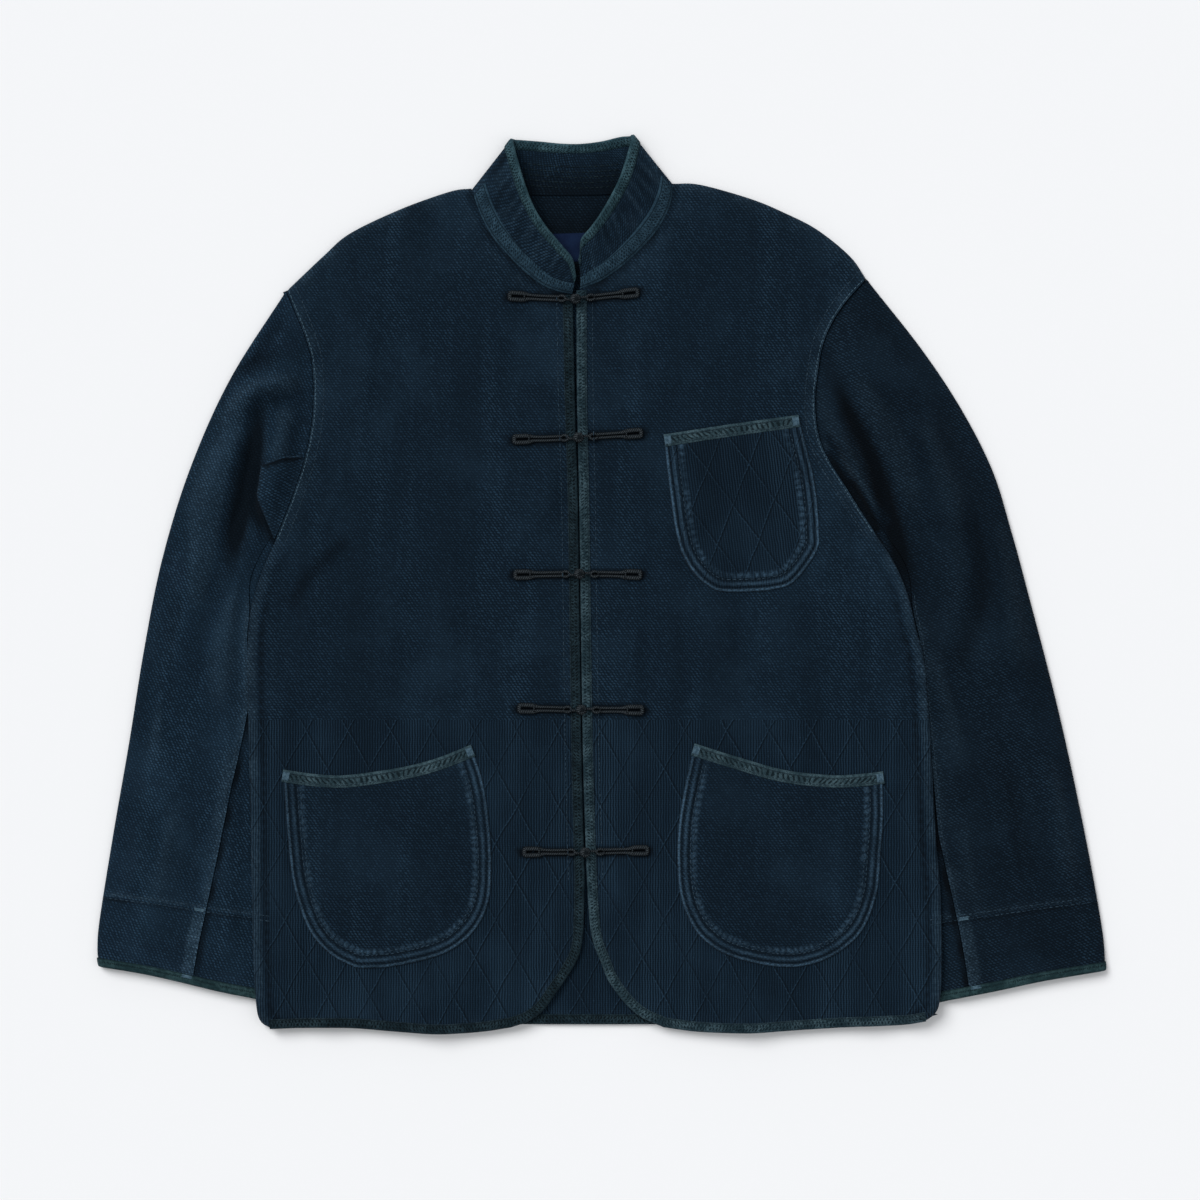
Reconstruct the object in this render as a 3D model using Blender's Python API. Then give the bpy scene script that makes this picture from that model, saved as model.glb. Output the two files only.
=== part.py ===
"""A hip-length jacket in heavy sashiko cotton, laid flat on its back with its front upwards.

It has a stand collar, five knotted frogs, a chest pocket and two hip pockets, two-piece sleeves with
an underarm gusset, and cotton tape bound round its edges. Lengths in the tables are millimetres and
become metres when a mesh is made. +X runs across the garment, +Y from its hem to its collar and +Z up
from the surface it lies on. Left and right are the wearer's, so the left side lies at +X.
"""

import math
from collections import namedtuple

import bmesh
import bpy
from mathutils import Vector, geometry
from mathutils.bvhtree import BVHTree

MM = 0.001

# Cloth, tape and the room between pieces
CLOTH = 1.6
COLLAR_CLOTH = 2.2
TAPE = 0.9
PATCH_CLOTH = 1.3
LABEL_CLOTH = 0.7
SEAM_GAP = 0.3
ARMHOLE_GAP = 0.7
BINDING_WIDTH = 8.0
BINDING_REACH = SEAM_GAP + TAPE
NECK_TAPE_SHARE = 0.27

# Rims: how far in from an edge the cloth reaches its full height
FOLD_RIM = 2.6
SEAM_RIM = 5.0
BACK_INSET = 3.0

# Heights of the layers
AIR = 2.0
AIR_AT_HEM = 3.9
AIR_OVER_SLEEVE = 1.3
HEM_LIFT = 1.3
SLEEVE_EDGE_HEIGHT = 4.4
SLEEVE_MIDDLE_HEIGHT = 6.0
STRIP_LIFT = 5.3
STRIP_LIFT_AT_CUFF = 8.4
STRIP_LIFT_AT_HEM = 2.4
STRIP_TOP = -5.0
STRIP_FOOT = -32.0

# Spacing of the points in a panel
FRONT_SPACING = 25.0
BACK_SPACING = 44.0
EXTRA_ROOM = 4.0
EDGE_STEP = 4.0

# How a sleeve's rows are spread from its armhole to its cuff
INNER_EASE = 1.5
OUTER_EASE = 0.8
ARMHOLE_FADE = 9
CUFF_FADE = 4

# Frogs
CORD_HEIGHT = 3.0
STRAP_WIDTH = 8.6
STRAP_WIDTH_AT_KNOT = 5.4
STRAP_SECTIONS = 7
KNOT_RADIUS = 4.3
KNOT_ROOM = 5.0

Spot = namedtuple("Spot", "across up")
NeckSection = namedtuple("NeckSection", "base_across base_up base_height top_across top_up top_height")
Fold = namedtuple("Fold", "spots width height")
Side = namedtuple(
    "Side",
    "name sign neck centre corner hem side armhole shoulder sleeve_outer sleeve_inner cuff seam folds"
    " sleeve_folds strip_starts",
)
SeamRow = namedtuple("SeamRow", "along top_share under_share")
Frog = namedtuple("Frog", "knot right_end left_end")
Pocket = namedtuple("Pocket", "name side top rest")


def spots(*pairs):
    return [Spot(*pair) for pair in pairs]


RIGHT = Side(
    name="right",
    sign=-1,
    neck=spots(
        (-108, 703.5), (-100.4, 681), (-91, 663), (-67, 636.5), (-51, 623.5), (-38, 617.5), (-23.8, 614.5),
    ),
    centre=spots((-23.8, 614.5), (-22.1, 527), (-19.6, 444), (-17.9, 327), (-16.2, 219), (-13.8, 127)),
    corner=spots((-13.8, 127), (-15, 86), (-18, 67), (-26, 51), (-37, 35), (-48, 20), (-60, 11), (-75, 5.5)),
    hem=spots((-75, 5.5), (-101, 1.7), (-135, 0), (-168, 1.7), (-210, 5), (-251, 5), (-275.5, 4.2)),
    side=spots(
        (-275.5, 4.2), (-284, 10.8), (-287, 27.5), (-289, 61), (-290.5, 111), (-292, 194),
        (-294, 277), (-294, 327), (-291, 355), (-283, 382), (-271.2, 410.8),
    ),
    armhole=spots(
        (-271.2, 410.8), (-258, 444), (-247, 477.5), (-240.4, 511), (-239.6, 544), (-244, 573), (-262, 618.3),
    ),
    shoulder=spots((-262, 618.3), (-230.4, 648.3), (-209.6, 666), (-168, 686), (-126, 701), (-108, 703.5)),
    sleeve_outer=spots(
        (-262, 618.3), (-309.6, 544), (-343, 469), (-366, 394), (-381, 319), (-393, 244),
        (-406, 169), (-418, 94), (-419.6, 69), (-417.9, 57),
    ),
    sleeve_inner=spots(
        (-273.4, 410), (-284.8, 384), (-289.6, 362), (-283, 330), (-275, 286), (-271, 227), (-269.6, 111),
        (-270.4, 26.2),
    ),
    cuff=spots((-270.4, 26.2), (-293, 31.2), (-321, 37), (-355.5, 45.4), (-384.6, 51.6), (-417.9, 57)),
    seam=[
        SeamRow(0, 0.09, 0.42), SeamRow(0.3, 0.13, 0.46), SeamRow(0.52, 0.18, 0.5), SeamRow(0.67, 0.29, 0.53),
        SeamRow(0.87, 0.4, 0.56), SeamRow(1, 0.47, 0.56),
    ],
    folds=[
        Fold(spots((-195, 640), (-196, 575), (-195, 515)), 15, 2.6),
        Fold(spots((-172, 630), (-178, 570), (-170, 520)), 12, -1.4),
        Fold(spots((-212, 420), (-238, 398), (-262, 372)), 11, 3.4),
        Fold(spots((-52, 590), (-36, 560), (-28, 520)), 13, 2.4),
        Fold(spots((-36, 494), (-44, 455), (-48, 420)), 12, 2.6),
        Fold(spots((-124, 560), (-122, 420), (-126, 280), (-120, 130)), 26, 2.2),
        Fold(spots((-226, 330), (-214, 200), (-222, 60)), 24, 1.8),
        Fold(spots((-60, 340), (-66, 240), (-58, 130)), 20, 1.6),
        Fold(spots((-135, 60), (-137, 20), (-140, -30)), 22, 3.0),
        Fold(spots((-222, 56), (-226, 20), (-230, -30)), 18, 2.2),
    ],
    sleeve_folds=[
        Fold(spots((-309, 516), (-290, 534), (-271, 539), (-243, 539)), 11, 7.0),
        Fold(spots((-311, 525), (-290, 549), (-271, 555), (-240, 549)), 9, -2.6),
        Fold(spots((-296, 505), (-312, 470), (-318, 420)), 17, 5.0),
        Fold(spots((-283, 525), (-286, 487), (-299, 427)), 8, -3.2),
        Fold(spots((-264, 505), (-272, 462), (-288, 425)), 13, 4.4),
        Fold(spots((-345, 420), (-352, 350), (-362, 270)), 18, 3.0),
        Fold(spots((-318, 380), (-328, 310), (-338, 240)), 15, -1.6),
        Fold(spots((-362, 240), (-372, 170), (-392, 100)), 18, 2.6),
    ],
    strip_starts=(418, 386),
)

LEFT = Side(
    name="left",
    sign=1,
    neck=spots(
        (60, 707.5), (57, 689), (47.4, 670), (32.7, 652.8), (15.4, 637), (2, 627.5), (-11, 621.5), (-20.9, 618.3),
    ),
    centre=spots((-20.9, 618.3), (-20.4, 527), (-18.6, 444), (-17, 327), (-15.2, 219), (-12.1, 125)),
    corner=spots((-12.1, 125), (-9.6, 90), (-6, 73), (0, 58), (5.6, 44), (19, 26), (33, 14), (52, 5.5)),
    hem=spots((52, 5.5), (82, 1.7), (124, 0.8), (165, 3.3), (207, 5.8), (249, 7.5), (269.6, 10.8)),
    side=spots(
        (269.6, 10.8), (277, 16.7), (281, 27.5), (283, 61), (282, 117), (278, 165),
        (274, 238), (269, 306), (262, 336), (254, 367.5), (243, 392.5), (227, 417.5),
    ),
    armhole=spots(
        (227, 417.5), (203, 455), (184, 487.5), (178, 515), (179, 544), (186, 579), (201, 606), (220.4, 628),
    ),
    shoulder=spots((220.4, 628), (207, 647), (180, 669), (153, 683), (124, 695), (82, 706.7), (60, 707.5)),
    sleeve_outer=spots(
        (220.4, 628), (267, 569), (300, 519), (325.4, 469), (341, 419), (354.6, 369),
        (380.4, 269), (402, 169), (417, 86), (419.2, 53.7),
    ),
    sleeve_inner=spots(
        (229.4, 417), (245.2, 394), (253.6, 374), (254.6, 348), (256, 306), (259.6, 244), (264, 161), (267, 86),
        (267, 23.7),
    ),
    cuff=spots((267, 23.7), (288, 28.7), (329.6, 37), (369.6, 45.4), (419.2, 53.7)),
    seam=[
        SeamRow(0, 0.09, 0.42), SeamRow(0.5, 0.1, 0.48), SeamRow(0.75, 0.12, 0.52), SeamRow(0.89, 0.2, 0.56),
        SeamRow(1, 0.26, 0.56),
    ],
    folds=[
        Fold(spots((99, 650), (112, 590), (110, 515)), 15, -1.4),
        Fold(spots((124, 640), (148, 580), (160, 510)), 16, 3.4),
        Fold(spots((192, 470), (196, 420), (190, 365)), 13, 3.2),
        Fold(spots((20, 590), (38, 540), (44, 470)), 16, 2.0),
        Fold(spots((80, 360), (90, 290), (84, 200)), 24, 2.2),
        Fold(spots((148, 280), (160, 255), (178, 222)), 14, 2.6),
        Fold(spots((232, 330), (238, 220), (236, 90)), 18, 2.2),
        Fold(spots((28, 350), (34, 250), (26, 170)), 18, 1.6),
        Fold(spots((6, 140), (26, 92), (56, 40)), 13, 2.6),
        Fold(spots((120, 60), (124, 20), (128, -30)), 22, 3.0),
        Fold(spots((226, 60), (222, 20), (220, -30)), 18, 2.0),
    ],
    sleeve_folds=[
        Fold(spots((188, 505), (201, 484), (222, 438), (238, 415)), 8, 4.0),
        Fold(spots((204, 540), (222, 500), (240, 450), (262, 392)), 13, 5.0),
        Fold(spots((193, 562), (211, 520), (233, 470), (250, 400)), 8, -2.6),
        Fold(spots((262, 520), (280, 470), (300, 400)), 20, 5.4),
        Fold(spots((300, 452), (315, 372), (296, 300)), 13, -2.6),
        Fold(spots((330, 440), (344, 360), (352, 280)), 18, 3.2),
        Fold(spots((300, 290), (318, 200), (330, 120)), 18, 2.2),
        Fold(spots((372, 240), (382, 170), (392, 100)), 17, 2.6),
    ],
    strip_starts=(426, 396),
)

SIDES = (RIGHT, LEFT)

BACK_NECK = spots((-104.5, 701.5), (-80, 699.5), (-50, 698.5), (-20, 698.5), (10, 699.5), (38, 702), (57, 705))
BACK_HEM = spots((-280, 11), (-251, 9.2), (-168, 7.5), (-53, 7.5), (32, 7.5), (165, 8.3), (274, 16))

COLLAR = [
    NeckSection(-24.4, 615.6, 4.6, -21.2, 630, 8.4),
    NeckSection(-37.6, 618.6, 4.7, -24.4, 644, 11.4),
    NeckSection(-50.7, 624.6, 4.8, -33, 654.5, 13.6),
    NeckSection(-66.5, 637.6, 4.8, -46, 670, 15.4),
    NeckSection(-77.4, 648.6, 4.8, -55.5, 685, 16),
    NeckSection(-90.4, 664.4, 4.8, -62.5, 702, 15.6),
    NeckSection(-99.8, 682, 4.8, -68.3, 721, 14),
    NeckSection(-105.2, 697, 4.8, -72.6, 736.5, 11.6),
    NeckSection(-106, 702.6, 3.4, -73.9, 743.3, 6.4),
    NeckSection(-103, 702.4, 1.3, -71, 743.6, 1.6),
    NeckSection(-80, 700.4, 1.1, -51.2, 742.1, 1.1),
    NeckSection(-50, 699.4, 1.1, -34.6, 740.4, 1.1),
    NeckSection(-20, 699.4, 1.1, -18, 740, 1.1),
    NeckSection(10, 700.4, 1.1, 0, 742.1, 1.1),
    NeckSection(38, 702.9, 1.1, 15.4, 745.8, 1.1),
    NeckSection(55.5, 705.9, 1.3, 23.6, 746.6, 1.6),
    NeckSection(58.3, 706.2, 3.4, 25.3, 746.9, 6.4),
    NeckSection(58.4, 703, 4.8, 24.8, 741.6, 11.4),
    NeckSection(56.2, 689.2, 4.8, 21, 727.5, 13.6),
    NeckSection(46.6, 670.6, 4.8, 15.5, 711, 15),
    NeckSection(32, 653.5, 4.8, 8.2, 696, 15.4),
    NeckSection(14.8, 637.8, 4.8, -1, 680.5, 14.6),
    NeckSection(1.4, 628.4, 4.8, -9, 669.5, 13),
    NeckSection(-11.2, 622.4, 4.7, -17, 659.5, 10.6),
    NeckSection(-17.6, 620, 4.6, -18, 644, 8.4),
]
COLLAR_RIGHT_ARM_END = 7
COLLAR_LEFT_ARM_START = 17
COLLAR_STEPS = 2
COLLAR_SHARES = (0, NECK_TAPE_SHARE, 0.62, 1)

LABEL_CORNERS = spots((-47, 642), (3, 643.5), (2.5, 667), (-47.5, 665.5))

FROGS = [
    Frog(Spot(-21.6, 610.8), Spot(-77.6, 613.6), Spot(31.2, 616.6)),
    Frog(Spot(-19.2, 495.8), Spot(-73.8, 494.2), Spot(34.3, 499.7)),
    Frog(Spot(-18.4, 382.5), Spot(-72.9, 381.7), Spot(33.6, 381.8)),
    Frog(Spot(-16.8, 269.6), Spot(-69.6, 270.8), Spot(35.2, 269.2)),
    Frog(Spot(-13.6, 151.2), Spot(-65.4, 151.3), Spot(39.4, 152.7)),
]

POCKETS = [
    Pocket(
        "pocket_chest", LEFT,
        spots((51.7, 497), (107, 505.5), (164, 513.4)),
        spots(
            (164, 513.4), (170, 491), (178, 456), (181, 420), (179, 401), (160.4, 376), (142, 369.2),
            (122.5, 367.5), (100.4, 367.5), (90.7, 371), (78.5, 381), (67.5, 398), (61.4, 420), (56.5, 454),
            (51.7, 497),
        ),
    ),
    Pocket(
        "pocket_right", RIGHT,
        spots((-264.4, 218.6), (-237, 214.6), (-210, 214), (-165, 220.5), (-135.6, 228.3), (-108, 239.2)),
        spots(
            (-108, 239.2), (-99, 212), (-94, 182), (-91.3, 143), (-94.3, 107.5), (-108, 83), (-130, 67),
            (-165, 57.3), (-195, 54.3), (-208, 56.3), (-228, 68), (-244, 88), (-255.6, 123), (-260.4, 162.5),
            (-264.4, 218.6),
        ),
    ),
    Pocket(
        "pocket_left", LEFT,
        spots((77, 240.3), (114, 228.6), (152.5, 218), (191, 213.8), (216, 214.8), (234, 217)),
        spots(
            (234, 217), (234.3, 182), (232.3, 150), (229, 116), (218.4, 88), (201, 70), (178, 58.5),
            (152.5, 55.3), (123, 59.6), (97, 69), (78, 86), (66.4, 112), (63.2, 141.4), (64.3, 175.5),
            (69.6, 207), (77, 240.3),
        ),
    ),
]
POCKET_BAND = 8.0

GUSSET_ROWS = 4
GUSSET_ROOM = 0.3

# Colours as linear values, read from the cloth in even light
INDIGO = (0.010, 0.021, 0.034)
INDIGO_LIGHT = (0.019, 0.036, 0.051)
CORD_GREY = (0.030, 0.031, 0.034)
LABEL_BLUE = (0.016, 0.032, 0.055)


def smoothstep(value, low, high):
    share = min(1.0, max(0.0, (value - low) / (high - low)))
    return share * share * (3 - 2 * share)


def along_line(points):
    """The running length at each point of a line."""
    lengths = [0.0]
    for here, there in zip(points, points[1:]):
        lengths.append(lengths[-1] + (there - here).length)
    return lengths


def read_line(points, lengths, share):
    """The point at this share of a line's length."""
    wanted = share * lengths[-1]
    for index in range(len(points) - 1):
        if lengths[index + 1] >= wanted:
            step = lengths[index + 1] - lengths[index]
            return points[index].lerp(points[index + 1], (wanted - lengths[index]) / step)
    return points[-1].copy()


def fine_curve(knots, steps=10):
    """A dense Catmull-Rom line through the knots, which are vectors of any size."""
    padded = [2 * knots[0] - knots[1]] + knots + [2 * knots[-1] - knots[-2]]
    line = []
    for a, b, c, d in zip(padded, padded[1:], padded[2:], padded[3:]):
        for step in range(steps):
            t = step / steps
            line.append(
                0.5 * (2 * b + (c - a) * t + (2 * a - 5 * b + 4 * c - d) * t**2 + (3 * b - a - 3 * c + d) * t**3)
            )
    line.append(knots[-1])
    return line


def through(rows, spacing):
    """Points about this far apart along a smooth curve through the rows."""
    line = fine_curve([Vector(row) for row in rows])
    lengths = along_line(line)
    count = max(1, round(lengths[-1] / spacing))
    return [read_line(line, lengths, step / count) for step in range(count + 1)]


def beside(points, distance):
    """An open line moved sideways, to the right of its direction for a positive distance."""
    moved = []
    for index, here in enumerate(points):
        before = points[max(0, index - 1)]
        after = points[min(len(points) - 1, index + 1)]
        ahead = (after - before).normalized()
        moved.append(here + Vector((ahead.y, -ahead.x)) * distance)
    return moved


def signed_area(loop):
    return sum(a.cross(b) for a, b in zip(loop, loop[1:] + loop[:1])) / 2


def moved_in(loop, distances):
    """A counter-clockwise loop with each of its sides moved inwards by that side's own distance."""
    moved = []
    for index, here in enumerate(loop):
        before = (here - loop[index - 1]).normalized()
        after = (loop[(index + 1) % len(loop)] - here).normalized()
        in_before = Vector((-before.y, before.x))
        in_after = Vector((-after.y, after.x))
        room_before = distances[index - 1]
        room_after = distances[index]
        turn = before.cross(after)
        if abs(turn) < 0.3:
            inwards = (in_before + in_after).normalized()
            moved.append(here + inwards * (room_before + room_after) / 2)
            continue
        start = here + in_before * room_before
        across = here + in_after * room_after - start
        moved.append(start + before * (across.cross(after) / turn))
    return moved


def is_inside(loop, point):
    """Whether a point lies inside a loop, by counting the sides to its right."""
    found = False
    for a, b in zip(loop, loop[1:] + loop[:1]):
        if (a.y > point.y) != (b.y > point.y):
            if point.x < a.x + (point.y - a.y) / (b.y - a.y) * (b.x - a.x):
                found = not found
    return found


def nearest_on(points, x, y):
    """How far a place is from an open line, at what share of the line it is nearest, and the way there."""
    here = Vector((x, y))
    best = (math.inf, 0.0, Vector((0, 0)))
    for index, (a, b) in enumerate(zip(points, points[1:])):
        side = b - a
        share = min(1.0, max(0.0, (here - a).dot(side) / side.length_squared))
        way = a + side * share - here
        if way.length < best[0]:
            best = (way.length, (index + share) / (len(points) - 1), way)
    return best


def folds_at(folds, x, y):
    """The height of a set of soft folds, each of which fades out at its two ends."""
    height = 0.0
    for fold in folds:
        gap, share, _ = nearest_on([Vector(spot) for spot in fold.spots], x, y)
        if gap < 3 * fold.width:
            ends = smoothstep(share, 0, 0.3) * smoothstep(1 - share, 0, 0.3)
            height += fold.height * ends * math.exp(-((gap / fold.width) ** 2))
    return height


def side_at(x):
    return RIGHT if x < 0 else LEFT


INNER_EDGES = {side.name: through(side.sleeve_inner, 12) for side in SIDES}


def inner_edge_at(side, y):
    """How far across a sleeve's inner edge lies at this height up the garment."""
    line = INNER_EDGES[side.name]
    for here, there in zip(line, line[1:]):
        if there.y <= y <= here.y:
            return here.lerp(there, (here.y - y) / (here.y - there.y)).x
    return line[0].x if y > line[0].y else line[-1].x


def over_sleeve(x, y):
    """1 where the body lies on a sleeve's inner strip, 0 away from it."""
    side = side_at(x)
    past = side.sign * (x - inner_edge_at(side, y))
    start, full = side.strip_starts
    return smoothstep(past, STRIP_FOOT, STRIP_TOP) * smoothstep(-y, -start, -full)


def strip_points(sides):
    """Points along the top and the foot of the slope where the body rises over each sleeve."""
    points = []
    for side in sides:
        for step in range(15):
            y = side.strip_starts[0] + 4 - step * 27.5
            for past in (STRIP_TOP, STRIP_FOOT):
                points.append(Vector((inner_edge_at(side, y) + side.sign * past, y)))
    return points


def strip_lift(y):
    """How high the body is lifted where it lies on a sleeve."""
    lift = STRIP_LIFT + (STRIP_LIFT_AT_CUFF - STRIP_LIFT) * smoothstep(-y, -112, -66)
    return lift + (STRIP_LIFT_AT_HEM - STRIP_LIFT_AT_CUFF) * smoothstep(-y, -22, -6)


def back_bottom(x, y):
    hem = HEM_LIFT * smoothstep(-y, -34, -19)
    return max(hem, strip_lift(y) * over_sleeve(x, y))


def back_top(x, y):
    return back_bottom(x, y) + CLOTH


def front_bottom(x, y):
    strip = over_sleeve(x, y)
    hem = smoothstep(-y, -48, -28)
    air = AIR + (AIR_AT_HEM - AIR) * hem
    air += (AIR_OVER_SLEEVE - AIR) * strip * (1 - hem)
    raised = folds_at(side_at(x).folds, x, y) + 0.8 * smoothstep(y, 330, 520)
    least = air if hem > 0 else air - 0.2
    return back_top(x, y) + max(least, air + raised)


def cloth_material(name, colour, roughness):
    material = bpy.data.materials.new(name)
    material.use_nodes = True
    shader = material.node_tree.nodes["Principled BSDF"]
    shader.inputs["Base Color"].default_value = (*colour, 1)
    shader.inputs["Roughness"].default_value = roughness
    shader.inputs["Metallic"].default_value = 0
    material.diffuse_color = (*colour, 1)
    return material


def add_object(name, points, faces, material):
    """A closed body from points in millimetres, with its faces turned outwards."""
    mesh = bpy.data.meshes.new(name)
    mesh.from_pydata([Vector(point) * MM for point in points], [], faces)
    shape = bmesh.new()
    shape.from_mesh(mesh)
    bmesh.ops.recalc_face_normals(shape, faces=shape.faces)
    shape.to_mesh(mesh)
    shape.free()
    mesh.materials.append(material)
    body = bpy.data.objects.new(name, mesh)
    bpy.context.scene.collection.objects.link(body)
    return body


def wall(name, plan, triangles, bottoms, tops, material):
    """A wall over the triangles of a plan, from its lower to its upper heights."""
    used = sorted({corner for triangle in triangles for corner in triangle})
    place = {corner: index for index, corner in enumerate(used)}
    count = len(used)
    points = [(*plan[corner], tops[corner]) for corner in used]
    points += [(*plan[corner], bottoms[corner]) for corner in used]
    faces = []
    sides = set()
    for triangle in triangles:
        a, b, c = (place[corner] for corner in triangle)
        faces.append((a, b, c))
        faces.append((c + count, b + count, a + count))
        sides.update(((a, b), (b, c), (c, a)))
    faces += [(b, a, a + count, b + count) for a, b in sorted(sides) if (b, a) not in sides]
    return add_object(name, points, faces, material)


def grid_normals(grid):
    """The unit normal at each point of a grid of points."""
    rows, columns = len(grid), len(grid[0])
    normals = []
    for i in range(rows):
        line = []
        for j in range(columns):
            along = grid[min(rows - 1, i + 1)][j] - grid[max(0, i - 1)][j]
            across = grid[i][min(columns - 1, j + 1)] - grid[i][max(0, j - 1)]
            line.append(along.cross(across).normalized())
        normals.append(line)
    return normals


def grid_wall(name, grid, near, far, material):
    """A wall over a grid, between two distances along its normals."""
    normals = grid_normals(grid)
    faces = []
    for distance in (near, far):
        pairs = [zip(row, line) for row, line in zip(grid, normals)]
        faces.append([[point + normal * distance for point, normal in pair] for pair in pairs])
    return shell(name, *faces, material)


def sweep(name, sections, material, closed=False, leans=()):
    """A body through sections that all have the same number of points; leaning sides are cut in two triangles."""
    count = len(sections[0])
    points = [point for section in sections for point in section]
    faces = []
    pairs = list(zip(range(len(sections)), list(range(1, len(sections))) + [0]))
    for here, there in pairs if closed else pairs[:-1]:
        for a, b in zip(range(count), list(range(1, count)) + [0]):
            corners = (here * count + a, here * count + b, there * count + b, there * count + a)
            if a in leans:
                corners = corners[leans[a]:] + corners[:leans[a]]
                faces += [corners[:3], (corners[0], *corners[2:])]
            else:
                faces.append(corners)
    if not closed:
        faces.append(tuple(range(count)))
        faces.append(tuple(len(points) - count + index for index in range(count)))
    return add_object(name, points, faces, material)


def edge_loop(edges):
    """One counter-clockwise loop from edges that follow each other, with the name of each point's edge."""
    loop, names = [], []
    for name, points in edges:
        loop += points[:-1]
        names += [name] * (len(points) - 1)
    if signed_area(loop) < 0:
        loop = loop[::-1]
        names = names[::-1]
        names = names[1:] + names[:1]
    return loop, names


def triangulated(outline, ring, lines, extras, spacing):
    """Triangles over an outline and its inner ring, with rows of points inside and lines kept as sides."""
    points = []
    sides = []
    for line in [outline, ring, *lines]:
        start = len(points)
        points += line
        sides += [(start + i, start + (i + 1) % len(line)) for i in range(len(line))]
    edges = [(points[a], points[b]) for a, b in sides[len(outline):]]
    count = len(outline)
    sides += [(count + i, i) for i in range(count)]
    sides += [(count + i, (i + 1) % count) for i in range(count)]
    for extra in extras:
        if is_inside(ring, extra) and all(nearest_on(edge, *extra)[0] > EXTRA_ROOM for edge in edges):
            points.append(extra)
            edges.append((extra, extra + Vector((0, 0.01))))
    lows = [min(point[axis] for point in outline) for axis in (0, 1)]
    highs = [max(point[axis] for point in outline) for axis in (0, 1)]
    row_height = spacing * math.sqrt(0.75)
    for row in range(int((highs[1] - lows[1]) / row_height) + 1):
        for column in range(int((highs[0] - lows[0]) / spacing) + 2):
            spot = Vector((lows[0] + (column - 0.5 * (row % 2)) * spacing, lows[1] + row * row_height))
            if is_inside(ring, spot):
                if all(nearest_on(edge, *spot)[0] > 0.5 * spacing for edge in edges):
                    points.append(spot)
    found = geometry.delaunay_2d_cdt(points, sides, [], 0, 1e-6)
    plan, faces, sources = found[0], found[2], found[3]
    place = {source: index for index, origins in enumerate(sources) for source in origins}
    triangles = []
    for face in faces:
        middle = sum((plan[corner] for corner in face), Vector((0, 0))) / 3
        if is_inside(outline, middle):
            triangles.append(tuple(face))
    return plan, triangles, place


def top_tree(body):
    """A search tree over a body, for finding its height from above."""
    return BVHTree.FromPolygons(
        [tuple(vertex.co / MM) for vertex in body.data.vertices],
        [tuple(face.vertices) for face in body.data.polygons],
    )


def height_over(trees, x, y, floor=0.0):
    """The highest point of some bodies at a place."""
    best = floor
    for tree in trees:
        hit = tree.ray_cast(Vector((x, y, 200)), Vector((0, 0, -1)))[0]
        if hit is not None:
            best = max(best, hit.z)
    return best


# For each side of a binding's section that lies along the cloth, the corner where its cut starts
BINDING_LEANS = {0: 0, 3: 1, 5: 0, 7: 1}


def binding_section(ring, edge, inner_side, outer_side, ring_heights, edge_heights):
    """The section of a tape folded round an edge: nine points, round its outside and back inside."""
    ring_low, ring_high = ring_heights
    edge_low, edge_high = edge_heights
    return [
        (*ring, ring_high + BINDING_REACH),
        (*edge, edge_high + BINDING_REACH),
        (*outer_side, (edge_low + edge_high) / 2),
        (*edge, edge_low - BINDING_REACH),
        (*ring, ring_low - BINDING_REACH),
        (*ring, ring_low - SEAM_GAP),
        (*inner_side, edge_low - SEAM_GAP),
        (*inner_side, edge_high + SEAM_GAP),
        (*ring, ring_high + SEAM_GAP),
    ]


def bind(name, panel, names, material):
    """Tape folded round the named run of a panel's outline."""
    outline, edge_names, ring = panel["outline"], panel["names"], panel["ring"]
    count = len(outline)
    inner_sides = moved_in(outline, [-SEAM_GAP] * count)
    outer_sides = moved_in(outline, [-BINDING_REACH] * count)
    run = [index for index in range(count) if edge_names[index] in names]
    while (run[0] - 1) % count in run:
        run = run[1:] + run[:1]
    run.append((run[-1] + 1) % count)
    sections = []
    for index in run:
        edge_place, ring_place = panel["edge_places"][index], panel["ring_places"][index]
        sections.append(
            binding_section(
                ring[index], outline[index], inner_sides[index], outer_sides[index],
                (panel["bottoms"][ring_place], panel["tops"][ring_place]),
                (panel["bottoms"][edge_place], panel["tops"][edge_place]),
            )
        )
    return sweep(name, sections, material, leans=BINDING_LEANS)


def make_panel(edges, insets, rims, lines, extras, spacing, bottom_at, dropped=()):
    """The plan, triangles and heights of a panel; the dropped edges turn down to the layer below."""
    loop, names = edge_loop(edges)
    outline = moved_in(loop, [insets[name] for name in names])
    ring = moved_in(outline, [rims[name] for name in names])
    plan, triangles, place = triangulated(outline, ring, lines, extras, spacing)
    bottoms = [bottom_at(*spot) for spot in plan]
    edge_places = [place[index] for index in range(len(outline))]
    ring_places = [place[len(outline) + index] for index in range(len(ring))]
    for index, name in enumerate(names):
        if name in dropped and names[index - 1] in dropped:
            spot = plan[edge_places[index]]
            bottoms[edge_places[index]] = back_bottom(*spot) + SEAM_GAP
    tops = [bottom + CLOTH for bottom in bottoms]
    return {
        "outline": outline, "names": names, "ring": ring, "plan": plan, "triangles": triangles,
        "bottoms": bottoms, "tops": tops, "edge_places": edge_places, "ring_places": ring_places,
    }


def patch_on(name, panel, loop, clearance, thickness, material):
    """A patch made of a panel's own triangles inside a loop, moved up off it."""
    plan = panel["plan"]
    inside = []
    for triangle in panel["triangles"]:
        middle = sum((plan[corner] for corner in triangle), Vector((0, 0))) / 3
        if is_inside(loop, middle):
            inside.append(triangle)
    bottoms = [top + clearance for top in panel["tops"]]
    tops = [bottom + thickness for bottom in bottoms]
    return wall(name, plan, inside, bottoms, tops, material)


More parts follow.
